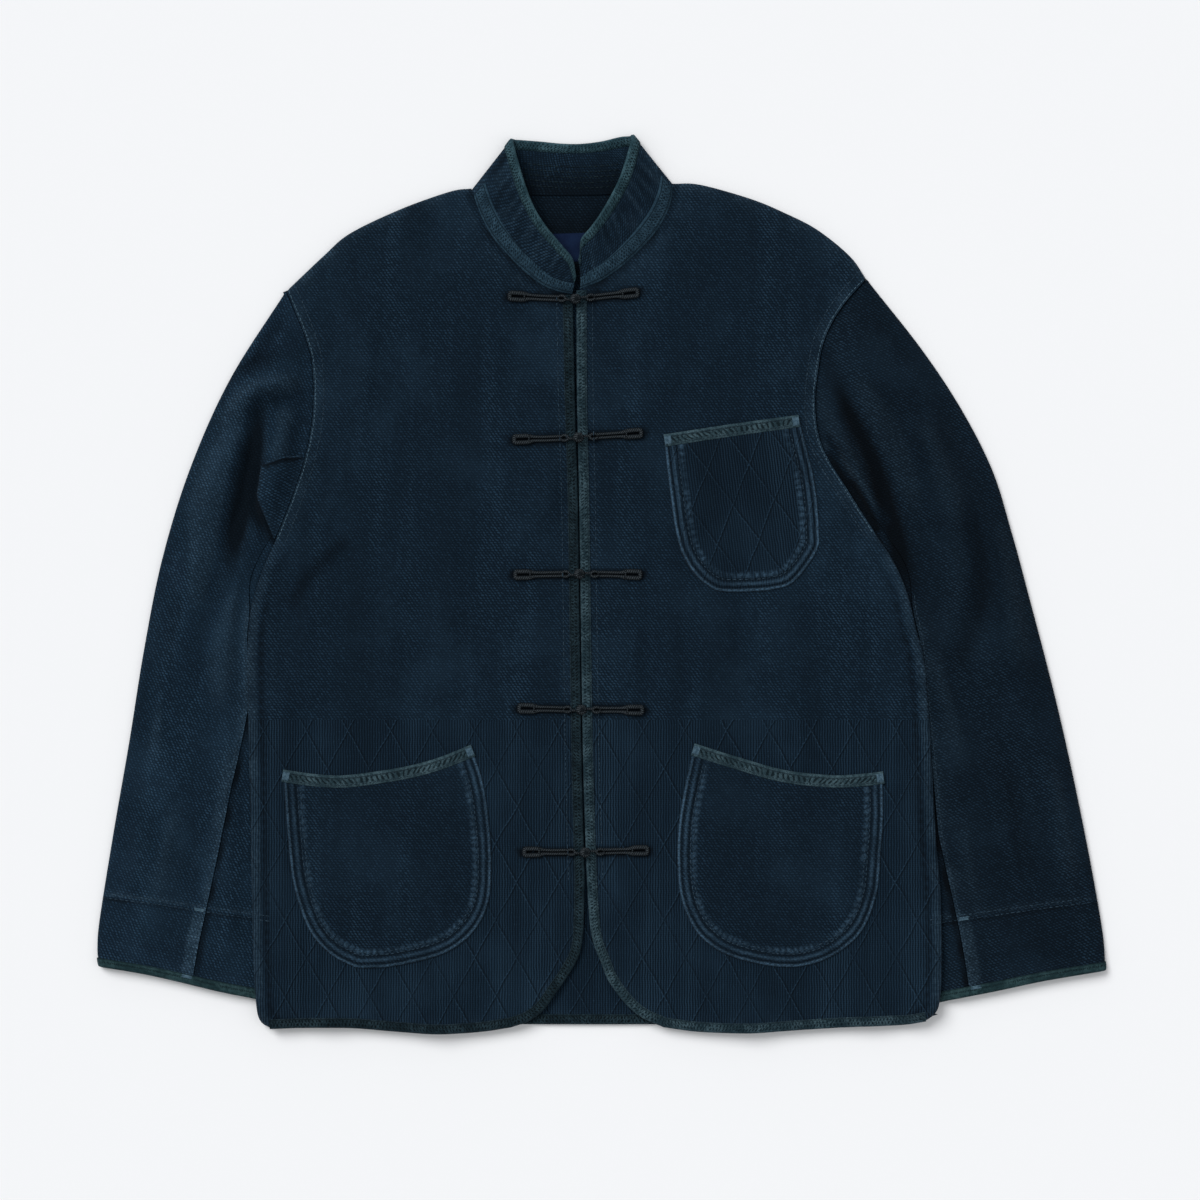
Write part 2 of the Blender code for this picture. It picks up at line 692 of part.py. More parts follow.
def pocket_lines(pocket):
    """A pocket's outline, and the outline of the band along its top edge."""
    top = through(pocket.top, 20)
    line = fine_curve([Vector(row) for row in pocket.rest])
    lengths = along_line(line)
    span = lengths[-1] - 2 * POCKET_BAND
    steps = round(span / 16)
    rest = [
        read_line(line, lengths, (POCKET_BAND + span * step / steps) / lengths[-1]) for step in range(steps + 1)
    ]
    below = beside(top, POCKET_BAND)[1:-1]
    return top + rest, top + [rest[0]] + below[::-1] + [rest[-1]]


def make_front(side, cloth, tape):
    """One front, its patch pockets and the tape round its centre edge, corner and hem."""
    edges = [
        ("neck", through(side.neck, 13)),
        ("centre", through(side.centre, 28)),
        ("corner", through(side.corner, 10)),
        ("hem", through(side.hem, 21)),
        ("side", through(side.side, 23)),
        ("armhole", through(side.armhole, 16)),
        ("shoulder", through(side.shoulder, 20)),
    ]
    bound = ("centre", "corner", "hem")
    folded = ("side", "shoulder")
    insets = {name: BINDING_REACH if name in bound else 0.0 for name, _ in edges}
    rims = {name: SEAM_RIM for name, _ in edges}
    rims.update({name: BINDING_WIDTH for name in bound})
    rims.update({name: FOLD_RIM for name in folded})
    loops = {pocket.name: pocket_lines(pocket) for pocket in POCKETS if pocket.side is side}
    lines = [line for pair in loops.values() for line in pair]
    panel = make_panel(edges, insets, rims, lines, strip_points([side]), FRONT_SPACING, front_bottom, folded)
    front = wall(f"front_{side.name}", panel["plan"], panel["triangles"], panel["bottoms"], panel["tops"], cloth)
    binding = bind(f"front_binding_{side.name}", panel, bound, tape)
    for name, (whole, band) in loops.items():
        patch_on(name, panel, whole, SEAM_GAP, CLOTH, cloth)
        patch_on(f"{name}_binding", panel, band, 2 * SEAM_GAP + CLOTH, TAPE, tape)
    return [front, binding]


def make_back(cloth, tape, label_cloth):
    """The back, which lies on the surface under both fronts, its hem tape and its label."""
    edges = [
        ("neck", through(BACK_NECK, 20)),
        ("shoulder", through(LEFT.shoulder[::-1], 30)),
        ("armhole", through(LEFT.armhole[::-1], 24)),
        ("side", through(LEFT.side[::-1], 32)),
        ("hem", through([LEFT.side[0]] + BACK_HEM[::-1] + [RIGHT.side[0]], 28)),
        ("side", through(RIGHT.side, 32)),
        ("armhole", through(RIGHT.armhole, 24)),
        ("shoulder", through(RIGHT.shoulder, 30)),
    ]
    edges[1][1][0] = edges[0][1][-1]
    edges[-1][1][-1] = edges[0][1][0]
    insets = {"neck": 0.6, "shoulder": BACK_INSET, "armhole": 0.2, "side": BACK_INSET, "hem": BINDING_REACH}
    rims = {"neck": SEAM_RIM, "shoulder": SEAM_RIM, "armhole": SEAM_RIM, "side": SEAM_RIM, "hem": BINDING_WIDTH}
    label = [Vector(spot) for spot in LABEL_CORNERS]
    panel = make_panel(edges, insets, rims, [label], strip_points(SIDES), BACK_SPACING, back_bottom)
    back = wall("back", panel["plan"], panel["triangles"], panel["bottoms"], panel["tops"], cloth)
    bind("back_hem_binding", panel, ("hem",), tape)
    patch_on("label", panel, label, SEAM_GAP, LABEL_CLOTH, label_cloth)
    return back


class Sleeve:
    """A flattened sleeve: where its cloth lies, by the share along it and the share round it."""

    def __init__(self, side):
        self.side = side
        self.armhole = beside(through(side.armhole, 10), side.sign * ARMHOLE_GAP)
        self.inner_line = through([self.armhole[0]] + list(side.sleeve_inner)[1:], EDGE_STEP)
        self.outer_line = through([self.armhole[-1]] + list(side.sleeve_outer)[1:], EDGE_STEP)
        self.cuff = through(side.cuff, 10)
        self.length = along_line(self.outer_line)[-1]

    def plan(self, along, across):
        """A place in plan, across from 0 at the inner edge to 1 at the outer one.

        The rows start close together at the underarm and fan out from there.
        """
        inner = read_line(self.inner_line, along_line(self.inner_line), along**INNER_EASE)
        outer = read_line(self.outer_line, along_line(self.outer_line), along**OUTER_EASE)
        spot = inner.lerp(outer, across)
        for line, fade in ((self.armhole, (1 - along) ** ARMHOLE_FADE), (self.cuff, along**CUFF_FADE)):
            bow = read_line(line, along_line(line), across) - line[0].lerp(line[-1], across)
            spot += bow * fade
        return spot

    def width(self, along):
        return (self.plan(along, 1) - self.plan(along, 0)).length

    def point(self, along, turn, out=0.0, on=0.0):
        """A point of the sleeve, this far out from its outer face and on past its end.

        The turn is the share across on top, and runs on underneath past 0 and 1.
        """
        across = turn if 0 <= turn <= 1 else (2 - turn if turn > 1 else -turn)
        spot = self.plan(along, across)
        from_inner, _, way_in = nearest_on(self.inner_line, *spot)
        from_outer, _, way_out = nearest_on(self.outer_line, *spot)
        edge, way = min((from_inner, way_in), (from_outer, way_out), key=lambda pair: pair[0])
        if across in (0, 1):
            ahead = self.plan(min(1, along + 0.02), across) - self.plan(max(0, along - 0.02), across)
            way = Vector((ahead.y, -ahead.x)) * (-self.side.sign if across == 1 else self.side.sign)
            edge = 0.0
        way.normalize()
        floor = HEM_LIFT * smoothstep(along * self.length, self.length - 26, self.length - 9)
        half = SLEEVE_EDGE_HEIGHT / 2
        onwards = (self.plan(1, across) - self.plan(0.97, across)).normalized() * on
        if turn < 0 or turn > 1:
            lean = 1 - min(edge / half, 1.0)
            rise = math.sqrt(1 - lean * lean)
            return Vector((*(spot + way * (lean * out) + onwards), floor + half * (1 - rise) - rise * out))
        beyond_body = self.side.sign * (spot.x - body_edge_at(self.side, spot.y))
        free = smoothstep(beyond_body, 4, 20)
        height = SLEEVE_EDGE_HEIGHT + (SLEEVE_MIDDLE_HEIGHT - SLEEVE_EDGE_HEIGHT) * free
        free *= smoothstep(from_outer, 4, 26) * smoothstep(self.length * (1 - along), 12, 46)
        height = max(height + free * (folds_at(self.side.sleeve_folds, *spot) + 1.0), SLEEVE_EDGE_HEIGHT)
        lean = 1 - min(edge / max(4.0, 1.3 * height), 1.0)
        rise = math.sqrt(1 - lean * lean)
        place = spot + way * (lean * out) + onwards
        return Vector((*place, floor + half + (height - half) * rise + rise * out))

    def shares(self, along):
        """The shares across at which the top seam and the seam underneath lie."""
        rows = self.side.seam
        for here, there in zip(rows, rows[1:]):
            if along <= there.along:
                part = (along - here.along) / (there.along - here.along)
                return (
                    here.top_share + (there.top_share - here.top_share) * part,
                    here.under_share + (there.under_share - here.under_share) * part,
                )
        return rows[-1].top_share, rows[-1].under_share

    def top_turns(self, along):
        """The turns of the top piece, from the top seam out over the outer edge to the seam underneath."""
        width = self.width(along)
        top, under = self.shares(along)
        start, end = top + SEAM_GAP / width, 2 - under - SEAM_GAP / width
        turns = [start + (1 - 10 / width - start) * step / 6 for step in range(7)]
        turns += [1 - 5 / width, 1 - 1.6 / width, 1.0, 1 + 0.8 / width]
        turns += [1 + 2.6 / width + (end - 1 - 2.6 / width) * step / 2 for step in range(3)]
        return turns

    def under_turns(self, along):
        """The turns of the under piece, from the seam underneath round the inner edge to the top seam."""
        width = self.width(along)
        top, under = self.shares(along)
        start, end = -under + SEAM_GAP / width, top - SEAM_GAP / width
        turns = [start + (-2.6 / width - start) * step / 2 for step in range(3)]
        turns += [-0.8 / width, 0.0, 1.6 / width]
        turns += [5 / width + (end - 5 / width) * step / 3 for step in range(4)]
        return turns

    def gusset_turns(self, along):
        """The turns of the gusset, which lies over the top seam on the points of both pieces."""
        return self.under_turns(along)[-2:-1] + self.top_turns(along)[:4]

    def rows(self):
        """The shares along the sleeve of its rows, closer together where its folds are."""
        last = 1 - BINDING_WIDTH / self.length
        return [last * (step / 18) ** 1.2 for step in range(19)] + [1.0]


BODY_EDGES = {side.name: through(side.side, 12) + through(side.armhole, 12)[1:] for side in SIDES}


def body_edge_at(side, y):
    """How far across the body's side edge or armhole lies at this height up the garment."""
    line = BODY_EDGES[side.name]
    for here, there in zip(line, line[1:]):
        if here.y <= y <= there.y:
            return here.lerp(there, (y - here.y) / (there.y - here.y)).x
    return line[-1].x if y > line[-1].y else line[0].x


def shell(name, outer, inner, material):
    """A wall between two grids of points, joined round their rims."""
    rows, columns = len(outer), len(outer[0])
    count = rows * columns
    points = [point for grid in (outer, inner) for row in grid for point in row]
    faces = []
    for i in range(rows - 1):
        for j in range(columns - 1):
            a, b = i * columns + j, (i + 1) * columns + j
            for face in ((a, b, b + 1), (a, b + 1, a + 1)):
                faces.append(face)
                faces.append(tuple(corner + count for corner in reversed(face)))
    rim = list(range(columns))
    rim += [i * columns + columns - 1 for i in range(1, rows)]
    rim += [(rows - 1) * columns + j for j in range(columns - 2, -1, -1)]
    rim += [i * columns for i in range(rows - 2, 0, -1)]
    faces += [(a, b, b + count, a + count) for a, b in zip(rim, rim[1:] + rim[:1])]
    return add_object(name, points, faces, material)


def make_sleeve(side, cloth, tape):
    """The two pieces of a sleeve, its gusset and the tape over its cuff."""
    sleeve = Sleeve(side)
    rows = sleeve.rows()
    pieces = {"sleeve": sleeve.top_turns, "undersleeve": sleeve.under_turns}
    for name, turns in pieces.items():
        faces = [
            [[sleeve.point(along, turn, out) for turn in turns(along)] for along in rows] for out in (0, -CLOTH)
        ]
        shell(f"{name}_{side.name}", *faces, cloth)
    make_cuff(f"cuff_binding_{side.name}", sleeve, rows[-2], tape)
    faces = [
        [[sleeve.point(along, turn, out) for turn in sleeve.gusset_turns(along)] for along in rows[:GUSSET_ROWS]]
        for out in (GUSSET_ROOM + PATCH_CLOTH, GUSSET_ROOM)
    ]
    shell(f"gusset_{side.name}", *faces, cloth)


def make_cuff(name, sleeve, start, tape):
    """Tape that covers the end of a sleeve and turns over it."""
    sections = []
    for turn in sleeve.under_turns(1) + sleeve.top_turns(1):
        sections.append(
            [
                sleeve.point(start, turn, BINDING_REACH),
                sleeve.point(1, turn, BINDING_REACH),
                sleeve.point(1, turn, 0.2, BINDING_REACH),
                sleeve.point(1, turn, -CLOTH, BINDING_REACH),
                sleeve.point(1, turn, -CLOTH, SEAM_GAP),
                sleeve.point(1, turn, SEAM_GAP, SEAM_GAP),
                sleeve.point(start, turn, SEAM_GAP),
            ]
        )
    return sweep(name, sections, tape, closed=True)


def make_collar(cloth, tape):
    """The stand collar, folded flat at both sides of the neck, and the tape along the foot of its two arms."""
    knots = [Vector(section[:3]) for section in COLLAR]
    tips = [Vector(section[3:]) for section in COLLAR]
    bases = fine_curve(knots, COLLAR_STEPS)
    tops = fine_curve(tips, COLLAR_STEPS)
    grid = [[base.lerp(top, share) for share in COLLAR_SHARES] for base, top in zip(bases, tops)]
    half = COLLAR_CLOTH / 2
    collar = grid_wall("collar", grid, -half, half, cloth)
    arms = {
        "right": grid[: COLLAR_RIGHT_ARM_END * COLLAR_STEPS + 1],
        "left": grid[COLLAR_LEFT_ARM_START * COLLAR_STEPS:],
    }
    tapes = []
    for name, rows in arms.items():
        foot = [row[:2] for row in rows]
        outwards = grid_normals(foot)[len(foot) // 2][0].z
        sign = 1 if outwards > 0 else -1
        near = sign * (half + SEAM_GAP)
        tapes.append(grid_wall(f"neck_tape_{name}", foot, near, near + sign * TAPE, tape))
    return [collar, *tapes]


def strap_section(spot, across, width, low):
    """Two cords side by side, sewn down flat: seven points round them."""
    rises = ((-0.5, 0), (-0.5, 0.6), (-0.26, 1), (0, 0.6), (0.26, 1), (0.5, 0.6), (0.5, 0))
    return [(*(spot + across * width * share), low + CORD_HEIGHT * rise) for share, rise in rises]


def make_frog(number, frog, trees, cord):
    """The two corded straps of one frog and the knot between them."""
    knot = Vector(frog.knot)
    for name, far in (("right", frog.right_end), ("left", frog.left_end)):
        outer = Vector(far)
        ahead = (outer - knot).normalized()
        inner = knot + ahead * KNOT_ROOM
        across = Vector((-ahead.y, ahead.x))
        lows = []
        spots_along = [inner.lerp(outer, step / (STRAP_SECTIONS - 1)) for step in range(STRAP_SECTIONS)]
        for spot in spots_along:
            near = [
                height_over(trees, *(spot + ahead * run + across * side))
                for run in (-5, -2.5, 0, 2.5, 5) for side in (-4.3, -2, 0, 2, 4.3)
            ]
            lows.append(max(near) + SEAM_GAP)
        sections = []
        for step, spot in enumerate(spots_along):
            share = step / (STRAP_SECTIONS - 1)
            width = STRAP_WIDTH_AT_KNOT + (STRAP_WIDTH - STRAP_WIDTH_AT_KNOT) * smoothstep(share, 0, 0.5)
            sections.append(strap_section(spot, across, width, lows[step]))
        sweep(f"frog_{number}_{name}", sections, cord)
    low = max(
        height_over(trees, knot.x + dx, knot.y + dy) for dx in (-4, -2, 0, 2, 4) for dy in (-4, -2, 0, 2, 4)
    )
    shape = bmesh.new()
    bmesh.ops.create_uvsphere(shape, u_segments=8, v_segments=6, radius=KNOT_RADIUS * MM)
    mesh = bpy.data.meshes.new(f"knot_{number}")
    for vertex in shape.verts:
        vertex.co.z *= 0.85
        vertex.co += Vector((knot.x, knot.y, low + SEAM_GAP + KNOT_RADIUS * 0.85)) * MM
    shape.to_mesh(mesh)
    shape.free()
    mesh.materials.append(cord)
    body = bpy.data.objects.new(f"knot_{number}", mesh)
    bpy.context.scene.collection.objects.link(body)


def settle_on_origin():
    """Puts the middle of the garment's box over the origin and its lowest point on the surface."""
    bodies = [body for body in bpy.data.objects if body.type == "MESH"]
    corners = [vertex.co for body in bodies for vertex in body.data.vertices]
    lows = Vector([min(corner[axis] for corner in corners) for axis in range(3)])
    highs = Vector([max(corner[axis] for corner in corners) for axis in range(3)])
    middle = (lows + highs) / 2
    shift = Vector((-middle.x, -middle.y, -lows.z))
    for body in bodies:
        for vertex in body.data.vertices:
            vertex.co += shift
        body.data.update()


def main():
    for body in list(bpy.data.objects):
        bpy.data.objects.remove(body)
    cloth = cloth_material("indigo_sashiko", INDIGO, 0.85)
    tape = cloth_material("indigo_tape", INDIGO_LIGHT, 0.8)
    cord = cloth_material("charcoal_cord", CORD_GREY, 0.75)
    label_cloth = cloth_material("label_cloth", LABEL_BLUE, 0.7)
    make_back(cloth, tape, label_cloth)
    layers = [body for side in SIDES for body in make_front(side, cloth, tape)]
    for side in SIDES:
        make_sleeve(side, cloth, tape)
    layers += make_collar(cloth, tape)
    trees = [top_tree(body) for body in layers]
    for number, frog in enumerate(FROGS, start=1):
        make_frog(number, frog, trees, cord)
    settle_on_origin()


main()
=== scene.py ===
"""The look of the jacket: dense cloth over its solids, bindings, stitches, cords and their materials.

Lengths in the tables are millimetres in the garment's own frame, with its hem's middle near the origin;
SHIFT moves them to the frame that the solids are in.
"""

import math
from collections import namedtuple

import bpy
import numpy as np
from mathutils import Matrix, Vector, geometry
from mathutils.bvhtree import BVHTree


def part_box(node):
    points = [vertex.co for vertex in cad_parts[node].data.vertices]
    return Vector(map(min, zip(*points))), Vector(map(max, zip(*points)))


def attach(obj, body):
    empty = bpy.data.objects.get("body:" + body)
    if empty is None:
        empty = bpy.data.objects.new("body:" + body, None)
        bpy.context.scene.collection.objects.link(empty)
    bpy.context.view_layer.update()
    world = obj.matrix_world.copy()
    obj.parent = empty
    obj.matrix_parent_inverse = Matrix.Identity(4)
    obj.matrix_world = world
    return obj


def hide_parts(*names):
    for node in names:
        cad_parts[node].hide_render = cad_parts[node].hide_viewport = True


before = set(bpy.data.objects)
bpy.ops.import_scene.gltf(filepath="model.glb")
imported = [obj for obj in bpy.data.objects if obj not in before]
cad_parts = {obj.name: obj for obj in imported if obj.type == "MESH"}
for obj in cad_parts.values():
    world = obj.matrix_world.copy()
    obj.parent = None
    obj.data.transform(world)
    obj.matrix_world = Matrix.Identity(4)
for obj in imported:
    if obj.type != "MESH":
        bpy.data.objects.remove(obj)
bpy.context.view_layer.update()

MM = 0.001
BODY = "root"

# Cloth, tape and the room between pieces
CLOTH = 1.6
COLLAR_CLOTH = 2.2
TAPE = 0.9
SEAM_GAP = 0.3
ARMHOLE_GAP = 0.7
BINDING_REACH = SEAM_GAP + TAPE

# How far in from the fronts' folded edges the back's edge lies
BACK_INSET = 3.0

# Heights of the layers
AIR = 2.0
AIR_AT_HEM = 3.9
AIR_OVER_SLEEVE = 1.3
HEM_LIFT = 1.3
SLEEVE_EDGE_HEIGHT = 4.4
SLEEVE_MIDDLE_HEIGHT = 6.0
STRIP_LIFT = 5.3
STRIP_LIFT_AT_CUFF = 8.4
STRIP_LIFT_AT_HEM = 2.4
STRIP_TOP = -5.0
STRIP_FOOT = -32.0

# How a sleeve's rows are spread from its armhole to its cuff
INNER_EASE = 1.5
OUTER_EASE = 0.8
ARMHOLE_FADE = 9
CUFF_FADE = 4

# Frogs
KNOT_RADIUS = 4.3
KNOT_ROOM = 5.0

Spot = namedtuple("Spot", "across up")
Fold = namedtuple("Fold", "spots width height")
Side = namedtuple(
    "Side",
    "name sign neck centre corner hem side armhole shoulder sleeve_outer sleeve_inner cuff seam folds"
    " sleeve_folds strip_starts",
)
Frog = namedtuple("Frog", "knot right_end left_end")
Pocket = namedtuple("Pocket", "name top rest")


def spots(*pairs):
    return [Spot(*pair) for pair in pairs]


def fold_rows(*rows):
    return [Fold(spots(*places), width, height) for places, width, height in rows]


# The two halves; a seam's rows are the share along the sleeve and the shares across its top and underside
RIGHT = Side(
    name="right",
    sign=-1,
    neck=spots(
        (-108, 703.5), (-100.4, 681), (-91, 663), (-67, 636.5), (-51, 623.5), (-38, 617.5), (-23.8, 614.5),
    ),
    centre=spots((-23.8, 614.5), (-22.1, 527), (-19.6, 444), (-17.9, 327), (-16.2, 219), (-13.8, 127)),
    corner=spots(
        (-13.8, 127), (-15, 86), (-18, 67), (-26, 51), (-37, 35), (-48, 20), (-60, 11), (-75, 5.5),
    ),
    hem=spots((-75, 5.5), (-101, 1.7), (-135, 0), (-168, 1.7), (-210, 5), (-251, 5), (-275.5, 4.2)),
    side=spots(
        (-275.5, 4.2), (-284, 10.8), (-287, 27.5), (-289, 61), (-290.5, 111), (-292, 194),
        (-294, 277), (-294, 327), (-291, 355), (-283, 382), (-271.2, 410.8),
    ),
    armhole=spots(
        (-271.2, 410.8), (-258, 444), (-247, 477.5), (-240.4, 511), (-239.6, 544), (-244, 573), (-262, 618.3),
    ),
    shoulder=spots((-262, 618.3), (-230.4, 648.3), (-209.6, 666), (-168, 686), (-126, 701), (-108, 703.5)),
    sleeve_outer=spots(
        (-262, 618.3), (-309.6, 544), (-343, 469), (-366, 394), (-381, 319), (-393, 244),
        (-406, 169), (-418, 94), (-419.6, 69), (-417.9, 57),
    ),
    sleeve_inner=spots(
        (-273.4, 410), (-284.8, 384), (-289.6, 362), (-283, 330), (-275, 286), (-271, 227), (-269.6, 111),
        (-270.4, 26.2),
    ),
    cuff=spots((-270.4, 26.2), (-293, 31.2), (-321, 37), (-355.5, 45.4), (-384.6, 51.6), (-417.9, 57)),
    seam=[
        (0, 0.09, 0.42), (0.3, 0.13, 0.46), (0.52, 0.18, 0.5), (0.67, 0.29, 0.53),
        (0.87, 0.4, 0.56), (1, 0.47, 0.56),
    ],
    folds=fold_rows(
        ([(-195, 640), (-196, 575), (-195, 515)], 15, 2.6),
        ([(-172, 630), (-178, 570), (-170, 520)], 12, -1.4),
        ([(-212, 420), (-238, 398), (-262, 372)], 11, 3.4),
        ([(-52, 590), (-36, 560), (-28, 520)], 13, 2.4),
        ([(-36, 494), (-44, 455), (-48, 420)], 12, 2.6),
        ([(-124, 560), (-122, 420), (-126, 280), (-120, 130)], 26, 2.2),
        ([(-226, 330), (-214, 200), (-222, 60)], 24, 1.8),
        ([(-60, 340), (-66, 240), (-58, 130)], 20, 1.6),
        ([(-135, 60), (-137, 20), (-140, -30)], 22, 3.0),
        ([(-222, 56), (-226, 20), (-230, -30)], 18, 2.2),
    ),
    sleeve_folds=fold_rows(
        ([(-309, 516), (-290, 534), (-271, 539), (-243, 539)], 11, 7.0),
        ([(-311, 525), (-290, 549), (-271, 555), (-240, 549)], 9, -2.6),
        ([(-296, 505), (-312, 470), (-318, 420)], 17, 5.0),
        ([(-283, 525), (-286, 487), (-299, 427)], 8, -3.2),
        ([(-264, 505), (-272, 462), (-288, 425)], 13, 4.4),
        ([(-345, 420), (-352, 350), (-362, 270)], 18, 3.0),
        ([(-318, 380), (-328, 310), (-338, 240)], 15, -1.6),
        ([(-362, 240), (-372, 170), (-392, 100)], 18, 2.6),
    ),
    strip_starts=(418, 386),
)

LEFT = Side(
    name="left",
    sign=1,
    neck=spots(
        (60, 707.5), (57, 689), (47.4, 670), (32.7, 652.8), (15.4, 637), (2, 627.5), (-11, 621.5),
        (-20.9, 618.3),
    ),
    centre=spots((-20.9, 618.3), (-20.4, 527), (-18.6, 444), (-17, 327), (-15.2, 219), (-12.1, 125)),
    corner=spots((-12.1, 125), (-9.6, 90), (-6, 73), (0, 58), (5.6, 44), (19, 26), (33, 14), (52, 5.5)),
    hem=spots((52, 5.5), (82, 1.7), (124, 0.8), (165, 3.3), (207, 5.8), (249, 7.5), (269.6, 10.8)),
    side=spots(
        (269.6, 10.8), (277, 16.7), (281, 27.5), (283, 61), (282, 117), (278, 165),
        (274, 238), (269, 306), (262, 336), (254, 367.5), (243, 392.5), (227, 417.5),
    ),
    armhole=spots(
        (227, 417.5), (203, 455), (184, 487.5), (178, 515), (179, 544), (186, 579), (201, 606), (220.4, 628),
    ),
    shoulder=spots((220.4, 628), (207, 647), (180, 669), (153, 683), (124, 695), (82, 706.7), (60, 707.5)),
    sleeve_outer=spots(
        (220.4, 628), (267, 569), (300, 519), (325.4, 469), (341, 419), (354.6, 369),
        (380.4, 269), (402, 169), (417, 86), (419.2, 53.7),
    ),
    sleeve_inner=spots(
        (229.4, 417), (245.2, 394), (253.6, 374), (254.6, 348), (256, 306), (259.6, 244), (264, 161),
        (267, 86), (267, 23.7),
    ),
    cuff=spots((267, 23.7), (288, 28.7), (329.6, 37), (369.6, 45.4), (419.2, 53.7)),
    seam=[
        (0, 0.09, 0.42), (0.5, 0.1, 0.48), (0.75, 0.12, 0.52), (0.89, 0.2, 0.56),
        (1, 0.26, 0.56),
    ],
    folds=fold_rows(
        ([(99, 650), (112, 590), (110, 515)], 15, -1.4),
        ([(124, 640), (148, 580), (160, 510)], 16, 3.4),
        ([(192, 470), (196, 420), (190, 365)], 13, 3.2),
        ([(20, 590), (38, 540), (44, 470)], 16, 2.0),
        ([(80, 360), (90, 290), (84, 200)], 24, 2.2),
        ([(148, 280), (160, 255), (178, 222)], 14, 2.6),
        ([(232, 330), (238, 220), (236, 90)], 18, 2.2),
        ([(28, 350), (34, 250), (26, 170)], 18, 1.6),
        ([(6, 140), (26, 92), (56, 40)], 13, 2.6),
        ([(120, 60), (124, 20), (128, -30)], 22, 3.0),
        ([(226, 60), (222, 20), (220, -30)], 18, 2.0),
    ),
    sleeve_folds=fold_rows(
        ([(188, 505), (201, 484), (222, 438), (238, 415)], 8, 4.0),
        ([(204, 540), (222, 500), (240, 450), (262, 392)], 13, 5.0),
        ([(193, 562), (211, 520), (233, 470), (250, 400)], 8, -2.6),
        ([(262, 520), (280, 470), (300, 400)], 20, 5.4),
        ([(300, 452), (315, 372), (296, 300)], 13, -2.6),
        ([(330, 440), (344, 360), (352, 280)], 18, 3.2),
        ([(300, 290), (318, 200), (330, 120)], 18, 2.2),
        ([(372, 240), (382, 170), (392, 100)], 17, 2.6),
    ),
    strip_starts=(426, 396),
)

SIDES = (RIGHT, LEFT)

BACK_NECK = spots(
    (-104.5, 701.5), (-80, 699.5), (-50, 698.5), (-20, 698.5), (10, 699.5), (38, 702), (57, 705),
)
BACK_HEM = spots((-280, 11), (-251, 9.2), (-168, 7.5), (-53, 7.5), (32, 7.5), (165, 8.3), (274, 16))

# The collar's sections from its right front end to its left one: across, up and height of its foot and top
COLLAR = [
    (-24.4, 615.6, 4.6, -21.2, 630, 8.4),
    (-37.6, 618.6, 4.7, -24.4, 644, 11.4),
    (-50.7, 624.6, 4.8, -33, 654.5, 13.6),
    (-66.5, 637.6, 4.8, -46, 670, 15.4),
    (-77.4, 648.6, 4.8, -55.5, 685, 16),
    (-90.4, 664.4, 4.8, -62.5, 702, 15.6),
    (-99.8, 682, 4.8, -68.3, 721, 14),
    (-105.2, 697, 4.8, -72.6, 736.5, 11.6),
    (-106, 702.6, 3.4, -73.9, 743.3, 6.4),
    (-103, 702.4, 1.3, -71, 743.6, 1.6),
    (-80, 700.4, 1.1, -51.2, 742.1, 1.1),
    (-50, 699.4, 1.1, -34.6, 740.4, 1.1),
    (-20, 699.4, 1.1, -18, 740, 1.1),
    (10, 700.4, 1.1, 0, 742.1, 1.1),
    (38, 702.9, 1.1, 15.4, 745.8, 1.1),
    (55.5, 705.9, 1.3, 23.6, 746.6, 1.6),
    (58.3, 706.2, 3.4, 25.3, 746.9, 6.4),
    (58.4, 703, 4.8, 24.8, 741.6, 11.4),
    (56.2, 689.2, 4.8, 21, 727.5, 13.6),
    (46.6, 670.6, 4.8, 15.5, 711, 15),
    (32, 653.5, 4.8, 8.2, 696, 15.4),
    (14.8, 637.8, 4.8, -1, 680.5, 14.6),
    (1.4, 628.4, 4.8, -9, 669.5, 13),
    (-11.2, 622.4, 4.7, -17, 659.5, 10.6),
    (-17.6, 620, 4.6, -18, 644, 8.4),
]
COLLAR_RIGHT_ARM_END = 7
COLLAR_LEFT_ARM_START = 17

LABEL_CORNERS = spots((-47, 642), (3, 643.5), (2.5, 667), (-47.5, 665.5))

# Each frog: its knot and the far ends of its two straps
FROGS = [
    Frog(*spots((-21.6, 610.8), (-77.6, 613.6), (31.2, 616.6))),
    Frog(*spots((-19.2, 495.8), (-73.8, 494.2), (34.3, 499.7))),
    Frog(*spots((-18.4, 382.5), (-72.9, 381.7), (33.6, 381.8))),
    Frog(*spots((-16.8, 269.6), (-69.6, 270.8), (35.2, 269.2))),
    Frog(*spots((-13.6, 151.2), (-65.4, 151.3), (39.4, 152.7))),
]

